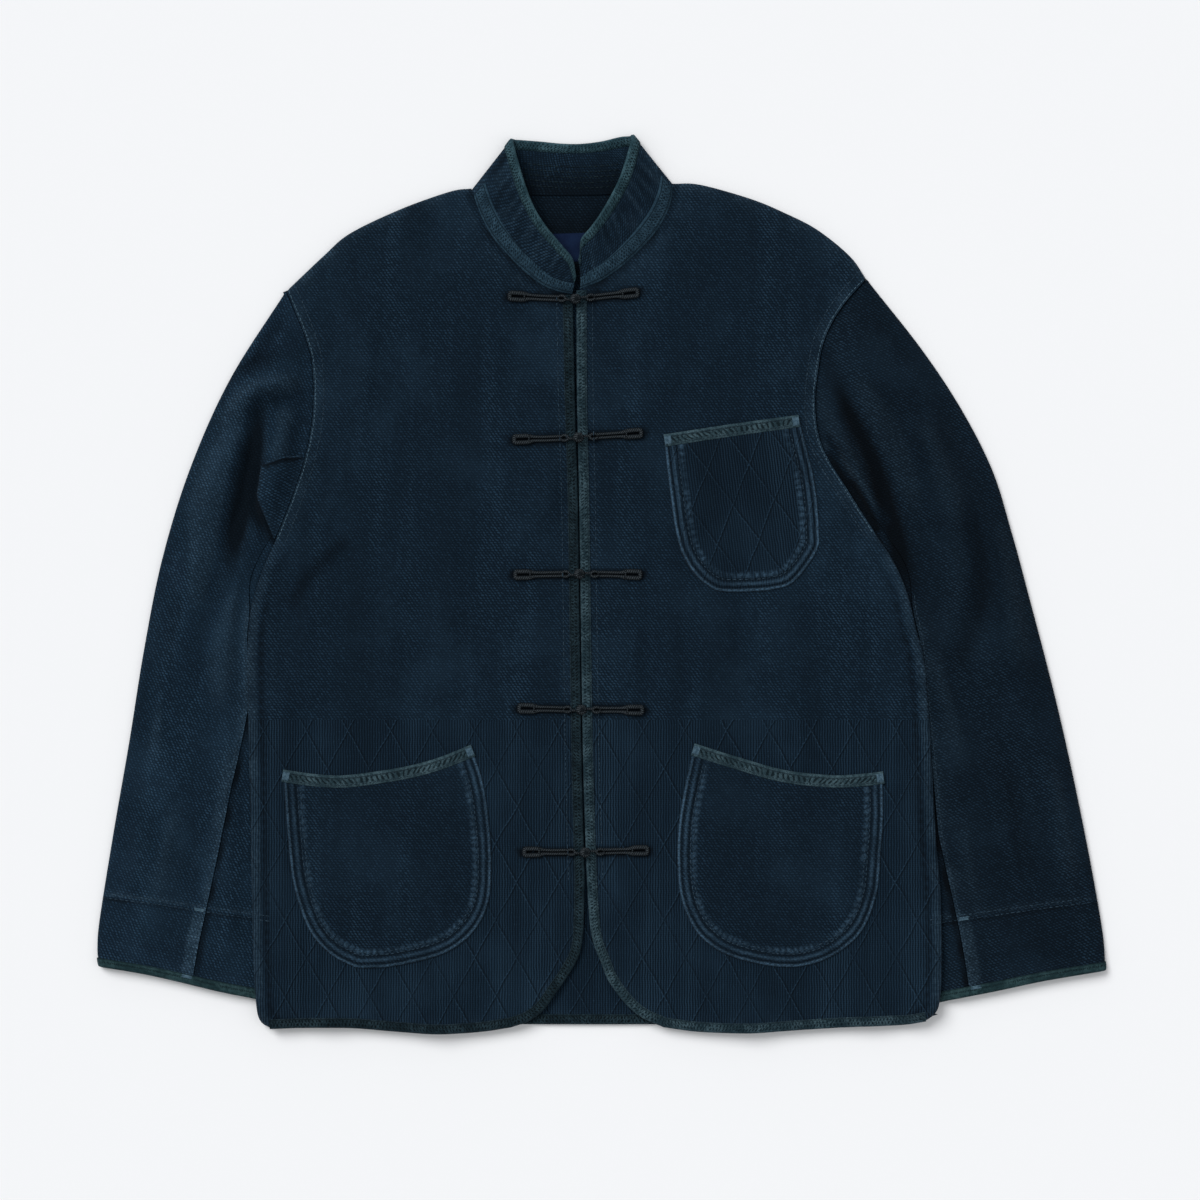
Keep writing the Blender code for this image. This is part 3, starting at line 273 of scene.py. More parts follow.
POCKETS = [
    Pocket(
        "pocket_chest",
        spots((51.7, 497), (107, 505.5), (164, 513.4)),
        spots(
            (164, 513.4), (170, 491), (178, 456), (181, 420), (179, 401), (160.4, 376), (142, 369.2),
            (122.5, 367.5), (100.4, 367.5), (90.7, 371), (78.5, 381), (67.5, 398), (61.4, 420), (56.5, 454),
            (51.7, 497),
        ),
    ),
    Pocket(
        "pocket_right",
        spots((-264.4, 218.6), (-237, 214.6), (-210, 214), (-165, 220.5), (-135.6, 228.3), (-108, 239.2)),
        spots(
            (-108, 239.2), (-99, 212), (-94, 182), (-91.3, 143), (-94.3, 107.5), (-108, 83), (-130, 67),
            (-165, 57.3), (-195, 54.3), (-208, 56.3), (-228, 68), (-244, 88), (-255.6, 123), (-260.4, 162.5),
            (-264.4, 218.6),
        ),
    ),
    Pocket(
        "pocket_left",
        spots((77, 240.3), (114, 228.6), (152.5, 218), (191, 213.8), (216, 214.8), (234, 217)),
        spots(
            (234, 217), (234.3, 182), (232.3, 150), (229, 116), (218.4, 88), (201, 70), (178, 58.5),
            (152.5, 55.3), (123, 59.6), (97, 69), (78, 86), (66.4, 112), (63.2, 141.4), (64.3, 175.5),
            (69.6, 207), (77, 240.3),
        ),
    ),
]

Crease = namedtuple("Crease", "spots width height skew")


def crease_rows(*rows):
    return [Crease(spots(*places), *rest) for places, *rest in rows]


# Small creases of the body: where each runs, how wide and how high it is, and its steeper side
BODY_CREASES = {"right": crease_rows(
    ([(-196, 604), (-193, 560), (-198, 500), (-192, 462)], 5.8, 2.2, 1),
    ([(-214, 470), (-230, 428), (-252, 398)], 5.8, 2.4, -1),
    ([(-158, 640), (-150, 596), (-156, 548)], 6.9, 1.5, -1),
    ([(-92, 610), (-86, 560), (-92, 500), (-86, 452)], 8.0, 1.7, 1),
    ([(-48, 588), (-34, 556), (-26, 530)], 5.8, 2.0, 1),
    ([(-34, 488), (-42, 452), (-40, 424)], 5.8, 2.0, -1),
    ([(-70, 470), (-62, 430), (-66, 398)], 6.9, 1.2, 1),
    ([(-130, 440), (-122, 380), (-128, 300)], 9.2, 1.7, 1),
    ([(-180, 420), (-176, 350), (-184, 280), (-176, 236)], 10.3, 1.5, -1),
    ([(-238, 372), (-246, 320), (-240, 262)], 8.0, 1.8, 1),
    ([(-60, 330), (-48, 290), (-54, 230)], 8.0, 1.4, -1),
    ([(-76, 250), (-66, 206), (-72, 150)], 6.9, 1.2, 1),
    ([(-40, 230), (-32, 190), (-38, 150)], 5.8, 1.2, -1),
    ([(-112, 60), (-108, 30), (-114, 8)], 8.0, 1.5, 1),
    ([(-196, 44), (-190, 24), (-196, 6)], 8.0, 1.4, -1),
), "left": crease_rows(
    ([(110, 640), (126, 604), (150, 540)], 6.9, 2.5, 1),
    ([(160, 560), (172, 520), (176, 486)], 6.9, 1.5, -1),
    ([(64, 640), (72, 590), (66, 540)], 8.0, 1.5, -1),
    ([(24, 596), (34, 552), (46, 500)], 6.9, 1.8, 1),
    ([(188, 440), (184, 408), (188, 372)], 5.8, 2.4, -1),
    ([(212, 400), (216, 360), (210, 310)], 6.9, 1.7, 1),
    ([(100, 356), (106, 330), (104, 300)], 6.9, 1.8, 1),
    ([(66, 360), (58, 320), (64, 262)], 8.0, 1.4, -1),
    ([(152, 276), (166, 248), (178, 224)], 6.9, 2.2, 1),
    ([(30, 340), (24, 290), (30, 240)], 6.9, 1.4, 1),
    ([(4, 142), (18, 106), (34, 72), (56, 42)], 6.9, 2.4, -1),
    ([(44, 180), (52, 140), (46, 96)], 6.9, 1.2, 1),
    ([(236, 300), (244, 240), (238, 180)], 8.0, 1.4, -1),
    ([(96, 44), (100, 24), (94, 6)], 8.0, 1.5, 1),
    ([(200, 46), (204, 26), (198, 8)], 8.0, 1.4, 1),
)}

# The same for the sleeves
SLEEVE_CREASES = {"right": crease_rows(
    ([(-312, 500), (-306, 520), (-289, 535), (-268, 540), (-243, 540)], 7, 4.0, 0.6),
    ([(-330, 520), (-312, 545), (-284, 560), (-256, 566)], 8, -2.6, 0.5),
    ([(-281, 532), (-285, 505), (-289, 478), (-294, 450), (-304, 410), (-309, 372)], 10, -6.6, 0.7),
    ([(-283, 500), (-288, 466), (-290, 446), (-284, 424), (-276, 404)], 4, -4.0, 0.6),
    ([(-262, 530), (-266, 500), (-270, 470)], 7, 2.4, -0.5),
    ([(-318, 500), (-328, 448), (-334, 392), (-338, 340)], 12, 2.8, -0.4),
    ([(-300, 388), (-312, 330), (-318, 262)], 9, 1.9, 0.8),
    ([(-346, 380), (-358, 320), (-364, 250)], 8, -1.5, 0.8),
    ([(-356, 330), (-366, 270), (-372, 210)], 7, 1.4, 0.7),
    ([(-304, 250), (-316, 200), (-324, 150)], 7, 1.1, -0.8),
    ([(-350, 200), (-362, 150), (-372, 100)], 8, 1.3, 0.8),
    ([(-330, 190), (-338, 140), (-336, 96)], 8, -1.1, 0.5),
    ([(-258, 600), (-276, 580), (-298, 548)], 6, -1.6, 0.6),
), "left": crease_rows(
    ([(188, 566), (204, 524), (228, 474), (240, 430), (252, 388), (266, 345)], 9, -6.2, 0.7),
    ([(184, 506), (197, 482), (210, 456), (224, 426)], 4.5, -4.4, 0.6),
    ([(186, 512), (200, 484), (216, 452), (234, 416), (244, 392)], 5, 3.4, -0.6),
    ([(206, 560), (228, 518), (252, 470), (266, 420)], 10, 2.2, 0.5),
    ([(264, 520), (284, 470), (304, 410)], 9, 1.8, 0.8),
    ([(300, 456), (314, 410), (316, 366), (304, 320), (292, 286)], 9, -2.4, 0.6),
    ([(330, 440), (344, 370), (354, 290)], 9, 1.8, 0.7),
    ([(272, 330), (290, 270), (300, 210)], 8, 1.5, 0.8),
    ([(330, 240), (344, 180), (352, 120)], 8, -1.4, -0.8),
    ([(372, 240), (384, 180), (394, 110)], 8, 1.3, 0.8),
    ([(226, 606), (244, 578), (262, 556)], 7, -1.5, 0.5),
    ([(300, 190), (306, 140), (316, 92)], 8, 1.2, 0.8),
)}

low_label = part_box("label")[0]
SHIFT = np.array([
    low_label.x / MM - min(spot.across for spot in LABEL_CORNERS),
    low_label.y / MM - min(spot.up for spot in LABEL_CORNERS),
    0.0,
])


def smoothstep(value, low, high):
    share = np.clip((np.asarray(value, float) - low) / (high - low), 0, 1)
    return share * share * (3 - 2 * share)


def bell(value, reach):
    """1 at 0, falling off softly to both sides."""
    return np.exp(-((value / reach) ** 2))


def rounded(share):
    """The height of a quarter circle at a share of its width."""
    return np.sqrt(1 - (1 - np.clip(share, 0, 1)) ** 2)


def running(points):
    """The running length at each point of a line."""
    steps = np.linalg.norm(np.diff(points, axis=0), axis=1)
    return np.concatenate([[0.0], np.cumsum(steps)])


def read_at(points, shares):
    """The points at these shares of a line's length."""
    lengths = running(points)
    wanted = np.asarray(shares, float) * lengths[-1]
    return np.stack([np.interp(wanted, lengths, points[:, k]) for k in range(points.shape[1])], axis=-1)


def fine_curve(rows, steps=12):
    """A dense Catmull-Rom line through the rows."""
    knots = np.array(rows, float)
    padded = np.vstack([2 * knots[0] - knots[1], knots, 2 * knots[-1] - knots[-2]])
    a, b, c, d = padded[:-3], padded[1:-2], padded[2:-1], padded[3:]
    parts = []
    for step in range(steps):
        t = step / steps
        bend = (2 * a - 5 * b + 4 * c - d) * t**2 + (3 * b - a - 3 * c + d) * t**3
        parts.append(0.5 * (2 * b + (c - a) * t + bend))
    line = np.stack(parts, axis=1).reshape(-1, knots.shape[1])
    return np.vstack([line, knots[-1]])


def through(rows, spacing):
    """Points about this far apart along a smooth curve through the rows."""
    line = fine_curve(rows)
    count = max(1, round(running(line)[-1] / spacing))
    return read_at(line, np.linspace(0, 1, count + 1))


def unit(vectors):
    return vectors / np.maximum(np.linalg.norm(vectors, axis=-1, keepdims=True), 1e-9)


def headings(points):
    """The unit direction at each point of an open line."""
    return unit(np.gradient(points, axis=0))


def left_of(ahead):
    """Directions in plan turned a quarter to the left."""
    return np.stack([-ahead[..., 1], ahead[..., 0]], axis=-1)


def beside(points, distance):
    """An open line moved sideways, to the right of its direction for a positive distance."""
    return points - left_of(headings(points)) * distance


def nearest_on(line, places):
    """For each place: how far the line is, the share of the line nearest to it, and the signed side."""
    a = line[:-1]
    side = line[1:] - a
    size = np.maximum((side * side).sum(1), 1e-12)
    best = np.full(places.shape[:-1], np.inf)
    share = np.zeros_like(best)
    hand = np.zeros_like(best)
    for index in range(len(a)):
        offset = places - a[index]
        t = np.clip(offset @ side[index] / size[index], 0, 1)
        away = offset - t[..., None] * side[index]
        gap = np.hypot(away[..., 0], away[..., 1])
        nearer = gap < best
        best[nearer] = gap[nearer]
        share[nearer] = (index + t[nearer]) / len(a)
        cross = side[index, 0] * offset[..., 1] - side[index, 1] * offset[..., 0]
        hand[nearer] = np.sign(cross[nearer])
    return best, share, hand


def gap_to(line, places):
    return nearest_on(line, places)[0]


def inside(loop, places):
    """Which places lie inside a closed loop."""
    found = np.zeros(len(places), bool)
    x, y = places[:, 0], places[:, 1]
    for a, b in zip(loop, np.roll(loop, -1, axis=0)):
        if a[1] != b[1]:
            crosses = (a[1] > y) != (b[1] > y)
            found ^= crosses & (x < a[0] + (y - a[1]) / (b[1] - a[1]) * (b[0] - a[0]))
    return found


def closed(loop):
    return np.vstack([loop, loop[:1]])


def closed_area(loop):
    after = np.roll(loop, -1, axis=0)
    return float((loop[:, 0] * after[:, 1] - loop[:, 1] * after[:, 0]).sum() / 2)


def moved_in(loop, distance):
    """A counter-clockwise loop moved inwards, by one distance or one for each point."""
    before = unit(loop - np.roll(loop, 1, axis=0))
    after = unit(np.roll(loop, -1, axis=0) - loop)
    ahead = unit(before + after)
    lean = np.clip((before * ahead).sum(1), 0.6, 1)
    return loop + left_of(ahead) * (np.asarray(distance, float) / lean)[..., None]


def noise(places, scale, seed):
    """A smooth uneven field from -1 to 1, the same each time."""
    random = np.random.default_rng(seed)
    x, y = places[..., 0], places[..., 1]
    total = np.zeros(x.shape)
    for _ in range(7):
        angle = random.uniform(0, 2 * math.pi)
        wave = random.uniform(0.6, 1.7) * 2 * math.pi / scale
        phase = random.uniform(0, 2 * math.pi)
        bend = random.uniform(0.4, 1.4)
        run = x * math.cos(angle) + y * math.sin(angle)
        cross = -x * math.sin(angle) + y * math.cos(angle)
        total += np.sin(run * wave + bend * np.sin(cross * wave * 0.6 + phase) + phase)
    return total / 4.2


def uneven(places, middle, scale, seed):
    """Wear that varies softly from place to place round a middle value."""
    return np.clip(middle + 0.5 * noise(places, scale, seed), 0, 1)


def faded_ends(share):
    return smoothstep(share, 0, 0.3) * smoothstep(1 - share, 0, 0.3)


def creases_at(creases, places):
    """The height of creases: ridges or valleys with a softer trough beside them, fading at their ends."""
    height = np.zeros(places.shape[:-1])
    for crease in creases:
        line = fine_curve(crease.spots, 6)
        reach = 3.6 * crease.width
        near = ((places >= line.min(0) - reach) & (places <= line.max(0) + reach)).all(-1)
        if not near.any():
            continue
        gap, share, hand = nearest_on(line, places[near])
        signed = gap * hand
        width = crease.width * (1 + 0.3 * np.sin(share * 7.3 + crease.width))
        lean = abs(crease.skew)
        steep = width * np.where(signed * crease.skew > 0, 1 - 0.45 * lean, 1 + 0.35 * lean)
        trough = bell(signed + np.sign(crease.skew) * 1.9 * crease.width, 1.3 * crease.width)
        height[near] += crease.height * faded_ends(share) * (bell(signed, steep) - 0.3 * trough)
    return height


def folds_at(folds, places):
    """The height of the same soft folds that the solids have."""
    height = np.zeros(places.shape[:-1])
    for fold in folds:
        gap, share, _ = nearest_on(np.array(fold.spots, float), places)
        height += fold.height * faded_ends(share) * bell(gap, fold.width)
    return height


def by_side(read, places):
    """A field that is read for the right side at negative x and for the left side elsewhere."""
    right = places[:, 0] < 0
    found = np.zeros(len(places))
    for side, there in ((RIGHT, right), (LEFT, ~right)):
        if there.any():
            found[there] = read(side, places[there])
    return found


INNER_EDGES = {side.name: through(side.sleeve_inner, 6)[::-1] for side in SIDES}


def inner_edge_at(side, up):
    """How far across a sleeve's inner edge lies at these heights up the garment."""
    line = INNER_EDGES[side.name]
    return np.interp(up, line[:, 1], line[:, 0])


def over_sleeve(places):
    """1 where the body lies on a sleeve's inner strip, 0 away from it."""
    def read(side, there):
        across, up = there.T
        past = side.sign * (across - inner_edge_at(side, up))
        start, full = side.strip_starts
        return smoothstep(past, STRIP_FOOT, STRIP_TOP) * smoothstep(-up, -start, -full)
    return by_side(read, places)


def back_bottom(places):
    up = places[:, 1]
    lift = STRIP_LIFT + (STRIP_LIFT_AT_CUFF - STRIP_LIFT) * smoothstep(-up, -112, -66)
    lift = lift + (STRIP_LIFT_AT_HEM - STRIP_LIFT_AT_CUFF) * smoothstep(-up, -22, -6)
    return np.maximum(HEM_LIFT * smoothstep(-up, -34, -19), lift * over_sleeve(places))


def back_top(places):
    return back_bottom(places) + CLOTH


def front_bottom(places):
    up = places[:, 1]
    hem = smoothstep(-up, -48, -28)
    air = AIR + (AIR_AT_HEM - AIR) * hem
    air = air + (AIR_OVER_SLEEVE - AIR) * over_sleeve(places) * (1 - hem)
    folds = by_side(lambda side, there: folds_at(side.folds, there), places)
    small = by_side(lambda side, there: creases_at(BODY_CREASES[side.name], there), places)
    raised = folds + small + 0.8 * smoothstep(up, 330, 520) + 0.35 * noise(places, 55, 3)
    least = np.where(hem > 0, air, air - 0.2)
    return back_top(places) + np.maximum(least, air + raised)


def front_top(places):
    return front_bottom(places) + CLOTH


SHARP_ANGLE = math.radians(48)

# How far in from a piece's edge its rings of closer points lie
EDGE_RINGS = (1.0, 2.6)

# The pieces by name, and how large the cloth of each was cut
made = {}
cuts = {}


def grid_uv(along, across):
    """Texture places in metres, from millimetres along a grid's rows and across its columns."""
    return np.dstack(np.meshgrid(along, across, indexing="ij")) * MM


def cut_from(name, uv):
    """Notes the flat size of a piece whose texture places lie as its cloth was cut, in metres."""
    width, length = np.ptp(uv.reshape(-1, 2), axis=0)
    one, two = uv[1:, 1:] - uv[:-1, :-1], uv[1:, :-1] - uv[:-1, 1:]
    area = np.abs(one[..., 0] * two[..., 1] - one[..., 1] * two[..., 0]).sum() / 2
    cuts[name] = (width, length, min(area, width * length))


def put(name, points, faces, uv, material, nodes=(), slot="sashiko", **fields):
    """A piece from points in millimetres, its texture places in metres and fields such as its rubbing and
    painted shading.
    """
    mesh = bpy.data.meshes.new(name)
    mesh.from_pydata(((points + SHIFT) * MM).tolist(), [], faces)
    mesh.materials.append(material)
    corners = np.zeros(len(mesh.loops), np.int32)
    mesh.loops.foreach_get("vertex_index", corners)
    layer = mesh.uv_layers.new(name="UVMap")
    layer.data.foreach_set("uv", np.asarray(uv, np.float32)[corners].ravel())
    # The field's negative values are painted shade and its positive ones paler rubbing; on cords they are a
    # painted highlight.
    fields.setdefault("wear", np.zeros(len(points)))
    for field, values in fields.items():
        attribute = mesh.attributes.new(field, "FLOAT", "POINT")
        attribute.data.foreach_set("value", np.asarray(values, np.float32))
    mesh.shade_smooth()
    mesh.set_sharp_from_angle(angle=SHARP_ANGLE)
    mesh.update()
    piece = bpy.data.objects.new(name, mesh)
    bpy.context.scene.collection.objects.link(piece)
    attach(piece, BODY)
    if nodes:
        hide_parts(*nodes)
    made[name] = piece
    return piece


def grid_faces(rows, columns, flip):
    """The four-sided faces of a grid of points."""
    first = np.arange(rows - 1)[:, None] * columns + np.arange(columns - 1)
    quads = np.stack([first, first + columns, first + columns + 1, first + 1], axis=-1).reshape(-1, 4)
    return quads[:, ::-1] if flip else quads


def shell(name, outer, inner, uv, material, wear=0.0, **words):
    """A closed thin piece between an outer and an inner grid of points, the outer one turned outwards."""
    rows, columns = outer.shape[:2]
    count = rows * columns
    row, column = rows // 2, columns // 2
    along = outer[min(rows - 1, row + 1), column] - outer[row - 1, column]
    across = outer[row, min(columns - 1, column + 1)] - outer[row, column - 1]
    flip = np.dot(np.cross(along, across), outer[row, column] - inner[row, column]) < 0
    faces = grid_faces(rows, columns, flip).tolist()
    faces += (grid_faces(rows, columns, not flip) + count).tolist()
    index = np.arange(count).reshape(rows, columns)
    rim = [*index[0], *index[1:, -1], *index[-1, -2::-1], *index[-2:0:-1, 0]]
    for a, b in zip(rim, rim[1:] + rim[:1]):
        quad = [int(a), int(b), int(b) + count, int(a) + count]
        faces.append(quad if flip else quad[::-1])
    cut_from(name, uv)
    worn_and_shaded = np.tile(np.broadcast_to(wear, (rows, columns)).ravel(), 2)
    points = np.vstack([outer.reshape(-1, 3), inner.reshape(-1, 3)])
    put(name, points, faces, np.vstack([uv.reshape(-1, 2)] * 2), material, wear=worn_and_shaded, **words)


def tube(name, sections, uv, material, ring=False, wear=0.0, cloth=False, **words):
    """A closed piece through sections that each run round it once; cloth is for a folded strip of cloth."""
    rows, count = sections.shape[:2]
    if cloth:
        wide = running(closed(sections[rows // 2]))[-1] / 2 * MM
        long = running(sections[:, count // 2])[-1] * MM
        cuts[name] = (wide, long, wide * long)
    index = np.arange(rows * count).reshape(rows, count)
    here = index if ring else index[:-1]
    there = np.roll(index, -1, axis=0) if ring else index[1:]
    quads = np.stack([here, np.roll(here, -1, axis=1), np.roll(there, -1, axis=1), there], axis=-1)
    faces = quads.reshape(-1, 4).tolist()
    if not ring:
        faces += [index[0][::-1].tolist(), index[-1].tolist()]
    worn_and_shaded = np.broadcast_to(wear, (rows, count)).ravel()
    piece = put(name, sections.reshape(-1, 3), faces, uv.reshape(-1, 2), material, wear=worn_and_shaded, **words)
    turn_outwards(piece)


def turn_outwards(piece):
    """Turns a closed piece's faces outwards if they all look inwards."""
    mesh = piece.data
    points = np.zeros(len(mesh.vertices) * 3)
    mesh.vertices.foreach_get("co", points)
    mesh.calc_loop_triangles()
    corners = np.zeros(len(mesh.loop_triangles) * 3, np.int32)
    mesh.loop_triangles.foreach_get("vertices", corners)
    a, b, c = points.reshape(-1, 3)[corners.reshape(-1, 3).T]
    if (a * np.cross(b, c)).sum() < 0:
        mesh.flip_normals()


def covered(loop, spacing, rings):
    """Points and triangles that cover a counter-clockwise loop, closer together along its edge."""
    count = int(running(loop)[-1] / (0.8 * spacing)) + 2
    edge = read_at(closed(loop), np.linspace(0, 1, count))[:-1]
    low, high = edge.min(0), edge.max(0)
    field = []
    rise = spacing * math.sqrt(0.75)
    for index, up in enumerate(np.arange(low[1], high[1] + rise, rise)):
        across = np.arange(low[0] - 0.5 * spacing * (index % 2), high[0] + spacing, spacing)
        field.append(np.stack([across, np.full(len(across), up)], axis=1))
    field = np.vstack(field)
    field = field[inside(edge, field)]
    far = gap_to(closed(edge), field) > rings[-1] + 0.55 * spacing
    flat = np.vstack([edge, *(moved_in(edge, ring) for ring in rings), field[far]])
    sides = [(i, (i + 1) % len(edge)) for i in range(len(edge))]
    found = geometry.delaunay_2d_cdt([Vector(point) for point in flat.tolist()], sides, [], 0, 1e-7)
    plan = np.array([tuple(vertex) for vertex in found[0]])
    faces = np.array([face for face in found[2] if len(face) == 3], np.int64)
    return edge, plan, faces[inside(edge, plan[faces].mean(axis=1))]


def snug_cut(edge):
    """Width and length in metres of the smallest rectangle of cloth that holds an edge."""
    sizes = []
    for turn in np.radians(np.arange(0, 90, 15)):
        turned = edge @ np.array([[math.cos(turn), -math.sin(turn)], [math.sin(turn), math.cos(turn)]])
        sizes.append(np.ptp(turned, axis=0) * MM)
    return min(sizes, key=np.prod)


def flat_shell(name, loop, spacing, top_at, bottom_at, material, wear_and_shading_at=None, uv_at=None, rings=EDGE_RINGS,
               rim=None, **words):
    """A closed thin piece over a loop in plan, between two heights that are read at its points."""
    if closed_area(loop) < 0:
        loop = loop[::-1]
    edge, plan, faces = covered(loop, spacing, rings)
    cuts[name] = (*snug_cut(edge), abs(closed_area(edge)) * MM * MM)
    depth = gap_to(closed(edge), plan)
    fields = {"wear": wear_and_shading_at(plan, depth) if wear_and_shading_at else np.zeros(len(plan))}
    if rim is not None:
        from_rim, share, _ = nearest_on(rim, plan)
        fields |= {"depth": from_rim, "run": share * running(rim)[-1]}
    tops = top_at(plan, depth)
    points = np.vstack([np.column_stack([plan, tops]), np.column_stack([plan, bottom_at(plan, tops)])])
    a, b, c = plan[faces.T]
    up = (b[:, 0] - a[:, 0]) * (c[:, 1] - a[:, 1]) - (b[:, 1] - a[:, 1]) * (c[:, 0] - a[:, 0])
    faces[up < 0] = faces[up < 0][:, ::-1]
    count = len(plan)
    every = faces.tolist() + (faces[:, ::-1] + count).tolist()
    sides = np.vstack([faces[:, [0, 1]], faces[:, [1, 2]], faces[:, [2, 0]]])
    known = {tuple(side) for side in sides.tolist()}
    every += [(b, a, a + count, b + count) for a, b in known if (b, a) not in known]
    uv = uv_at(plan) if uv_at else plan * MM
    fields = {field: np.tile(values, 2) for field, values in fields.items()}
    put(name, points, every, np.vstack([uv, uv]), material, **fields, **words)


def strip(line, offsets, base_at, lifts, drops):
    """Grids of a ribbon that lies along a line in plan: its top and underside, and its texture places."""
    offsets = np.asarray(offsets, float)
    plan = line[:, None] - left_of(headings(line))[:, None] * offsets[:, None]
    base = base_at(plan.reshape(-1, 2)).reshape(plan.shape[:2])
    top, low = (np.dstack([plan, base + np.asarray(above, float)]) for above in (lifts, drops))
    return top, low, grid_uv(running(line), offsets)


class Field:
    """A number or colour worked out by a material's nodes."""

    def __init__(self, graph, socket):
        self.graph = graph
        self.socket = socket

    def __add__(self, other):
        return calc("ADD", self, other)

    def __sub__(self, other):
        return calc("SUBTRACT", self, other)

    def __rsub__(self, other):
        return calc("SUBTRACT", other, self)

    def __mul__(self, other):
        return calc("MULTIPLY", self, other)

    def __truediv__(self, other):
        return calc("DIVIDE", self, other)

    def ramp(self, low, high, out_low=0.0, out_high=1.0):
        """Eases from one value to another while this runs from low to high."""
        return self.graph.node(
            "ShaderNodeMapRange", "Result", {"interpolation_type": "SMOOTHSTEP"},
            Value=self, From_Min=low, From_Max=high, To_Min=out_low, To_Max=out_high,
        )

    def blend(self, first, second):
        """The first colour where this is 0 and the second where it is 1."""
        return self.graph.node(
            "ShaderNodeMix", 2, {"data_type": "RGBA"}, Factor=self, first=first, second=second
        )


def calc(operation, *values):
    graph = next(value.graph for value in values if isinstance(value, Field))
    found = graph.tree.nodes.new("ShaderNodeMath")
    found.operation = operation
    for socket, value in zip(found.inputs, values):
        graph.set_input(socket, value)
    return Field(graph, found.outputs[0])


def sine(value, period):
    return calc("SINE", value * (2 * math.pi / period))


def cosine(value, period):
    return calc("COSINE", value * (2 * math.pi / period))


def hump(value, centre, reach):
    """1 where a value is at the centre, falling softly to 0 this far from it."""
    return calc("ABSOLUTE", value - centre).ramp(0.0, reach, 1.0, 0.0)


class Graph:
    """A material's nodes, with x and y the texture places across and along a piece, in millimetres."""

    COLOUR_INPUTS = {"first": 6, "second": 7}

    def __init__(self, name, roughness, sheen=0.02):
        self.material = bpy.data.materials.new(name)
        self.material.use_nodes = True
        self.tree = self.material.node_tree
        self.shader = self.tree.nodes["Principled BSDF"]
        for socket, value in (
            ("Roughness", roughness), ("Specular IOR Level", 0.06), ("Sheen Weight", sheen),
            ("Sheen Roughness", 0.5), ("Sheen Tint", (0.62, 0.72, 0.85, 1)),
        ):
            self.shader.inputs[socket].default_value = value
        uv = self.node("ShaderNodeUVMap", 0, {"uv_map": "UVMap"})
        self.x, self.y = (self.node("ShaderNodeSeparateXYZ", axis, Vector=uv) * 1000.0 for axis in "XY")

    def set_input(self, socket, value):
        if isinstance(value, Field):
            self.tree.links.new(value.socket, socket)
        else:
            socket.default_value = (*value, 1) if isinstance(value, tuple) else value

    def node(self, kind, output, settings=None, **inputs):
        found = self.tree.nodes.new(kind)
        for name, value in (settings or {}).items():
            setattr(found, name, value)
        for name, value in inputs.items():
            self.set_input(found.inputs[self.COLOUR_INPUTS.get(name, name.replace("_", " "))], value)
        return Field(self, found.outputs[output])

    def vector(self, x, y, z=0.0):
        return self.node("ShaderNodeCombineXYZ", 0, X=x, Y=y, Z=z)

    def noise(self, scale, detail=2.0, z=0.0, roughness=0.5, at=None):
        vector = self.vector(*(at or (self.x, self.y, z)))
        return self.node(
            "ShaderNodeTexNoise", 0, Vector=vector, Scale=scale, Detail=detail, Roughness=roughness
        )

    def attribute(self, name):
        return self.node("ShaderNodeAttribute", "Fac", {"attribute_name": name})

    def finish(self, colour, height, depth):
        self.set_input(self.shader.inputs["Base Color"], colour)
        bump = self.node("ShaderNodeBump", 0, Strength=1.0, Distance=depth * MM, Height=height)
        self.set_input(self.shader.inputs["Normal"], bump)
        return self.material


GRAIN_WIDE = 3.0
GRAIN_TALL = 2.1
GRAIN_SLANT = 0.5
RIB_PITCH = 2.2
DIAMOND_WIDE = 35.0
DIAMOND_TALL = 63.0
DOT_PITCH = 6.4
LOWER_CLOTH = 261.0
# Added before a fraction or a remainder is taken, to keep it positive
TURNS = 1000.0

DARK = (0.0026, 0.0076, 0.0140)
MID = (0.0078, 0.0217, 0.0400)
LIGHT = (0.0185, 0.0445, 0.0760)
FADED = (0.0460, 0.0880, 0.1300)
PALE_EDGE = (0.0420, 0.0860, 0.1350)


def grain_height(graph):
    """Rice-grain weave: slanting grains in rows, each row half a grain on."""
    x = graph.x + (graph.noise(0.16) - 0.5) * 3.0
    y = graph.y + (graph.noise(0.2, at=(graph.y, x, 7.0)) - 0.5) * 2.0
    row = y / GRAIN_TALL
    odd = calc("MODULO", calc("FLOOR", row + TURNS), 2.0)
    column = x / GRAIN_WIDE + odd * 0.5
    up = calc("FRACT", row + TURNS) - 0.5
    over = calc("FRACT", column + TURNS) - 0.5 + up * GRAIN_SLANT
    cell = graph.vector(calc("FLOOR", column), calc("FLOOR", row))
    luck = graph.node("ShaderNodeTexWhiteNoise", "Value", {"noise_dimensions": "2D"}, Vector=cell)
    away = calc("POWER", over / 0.38, 2.0) + calc("POWER", up / 0.49, 2.0)
    return calc("SQRT", calc("MAXIMUM", 1.0 - away, 0.0)) * luck.ramp(0.0, 1.0, 0.5, 1.0)


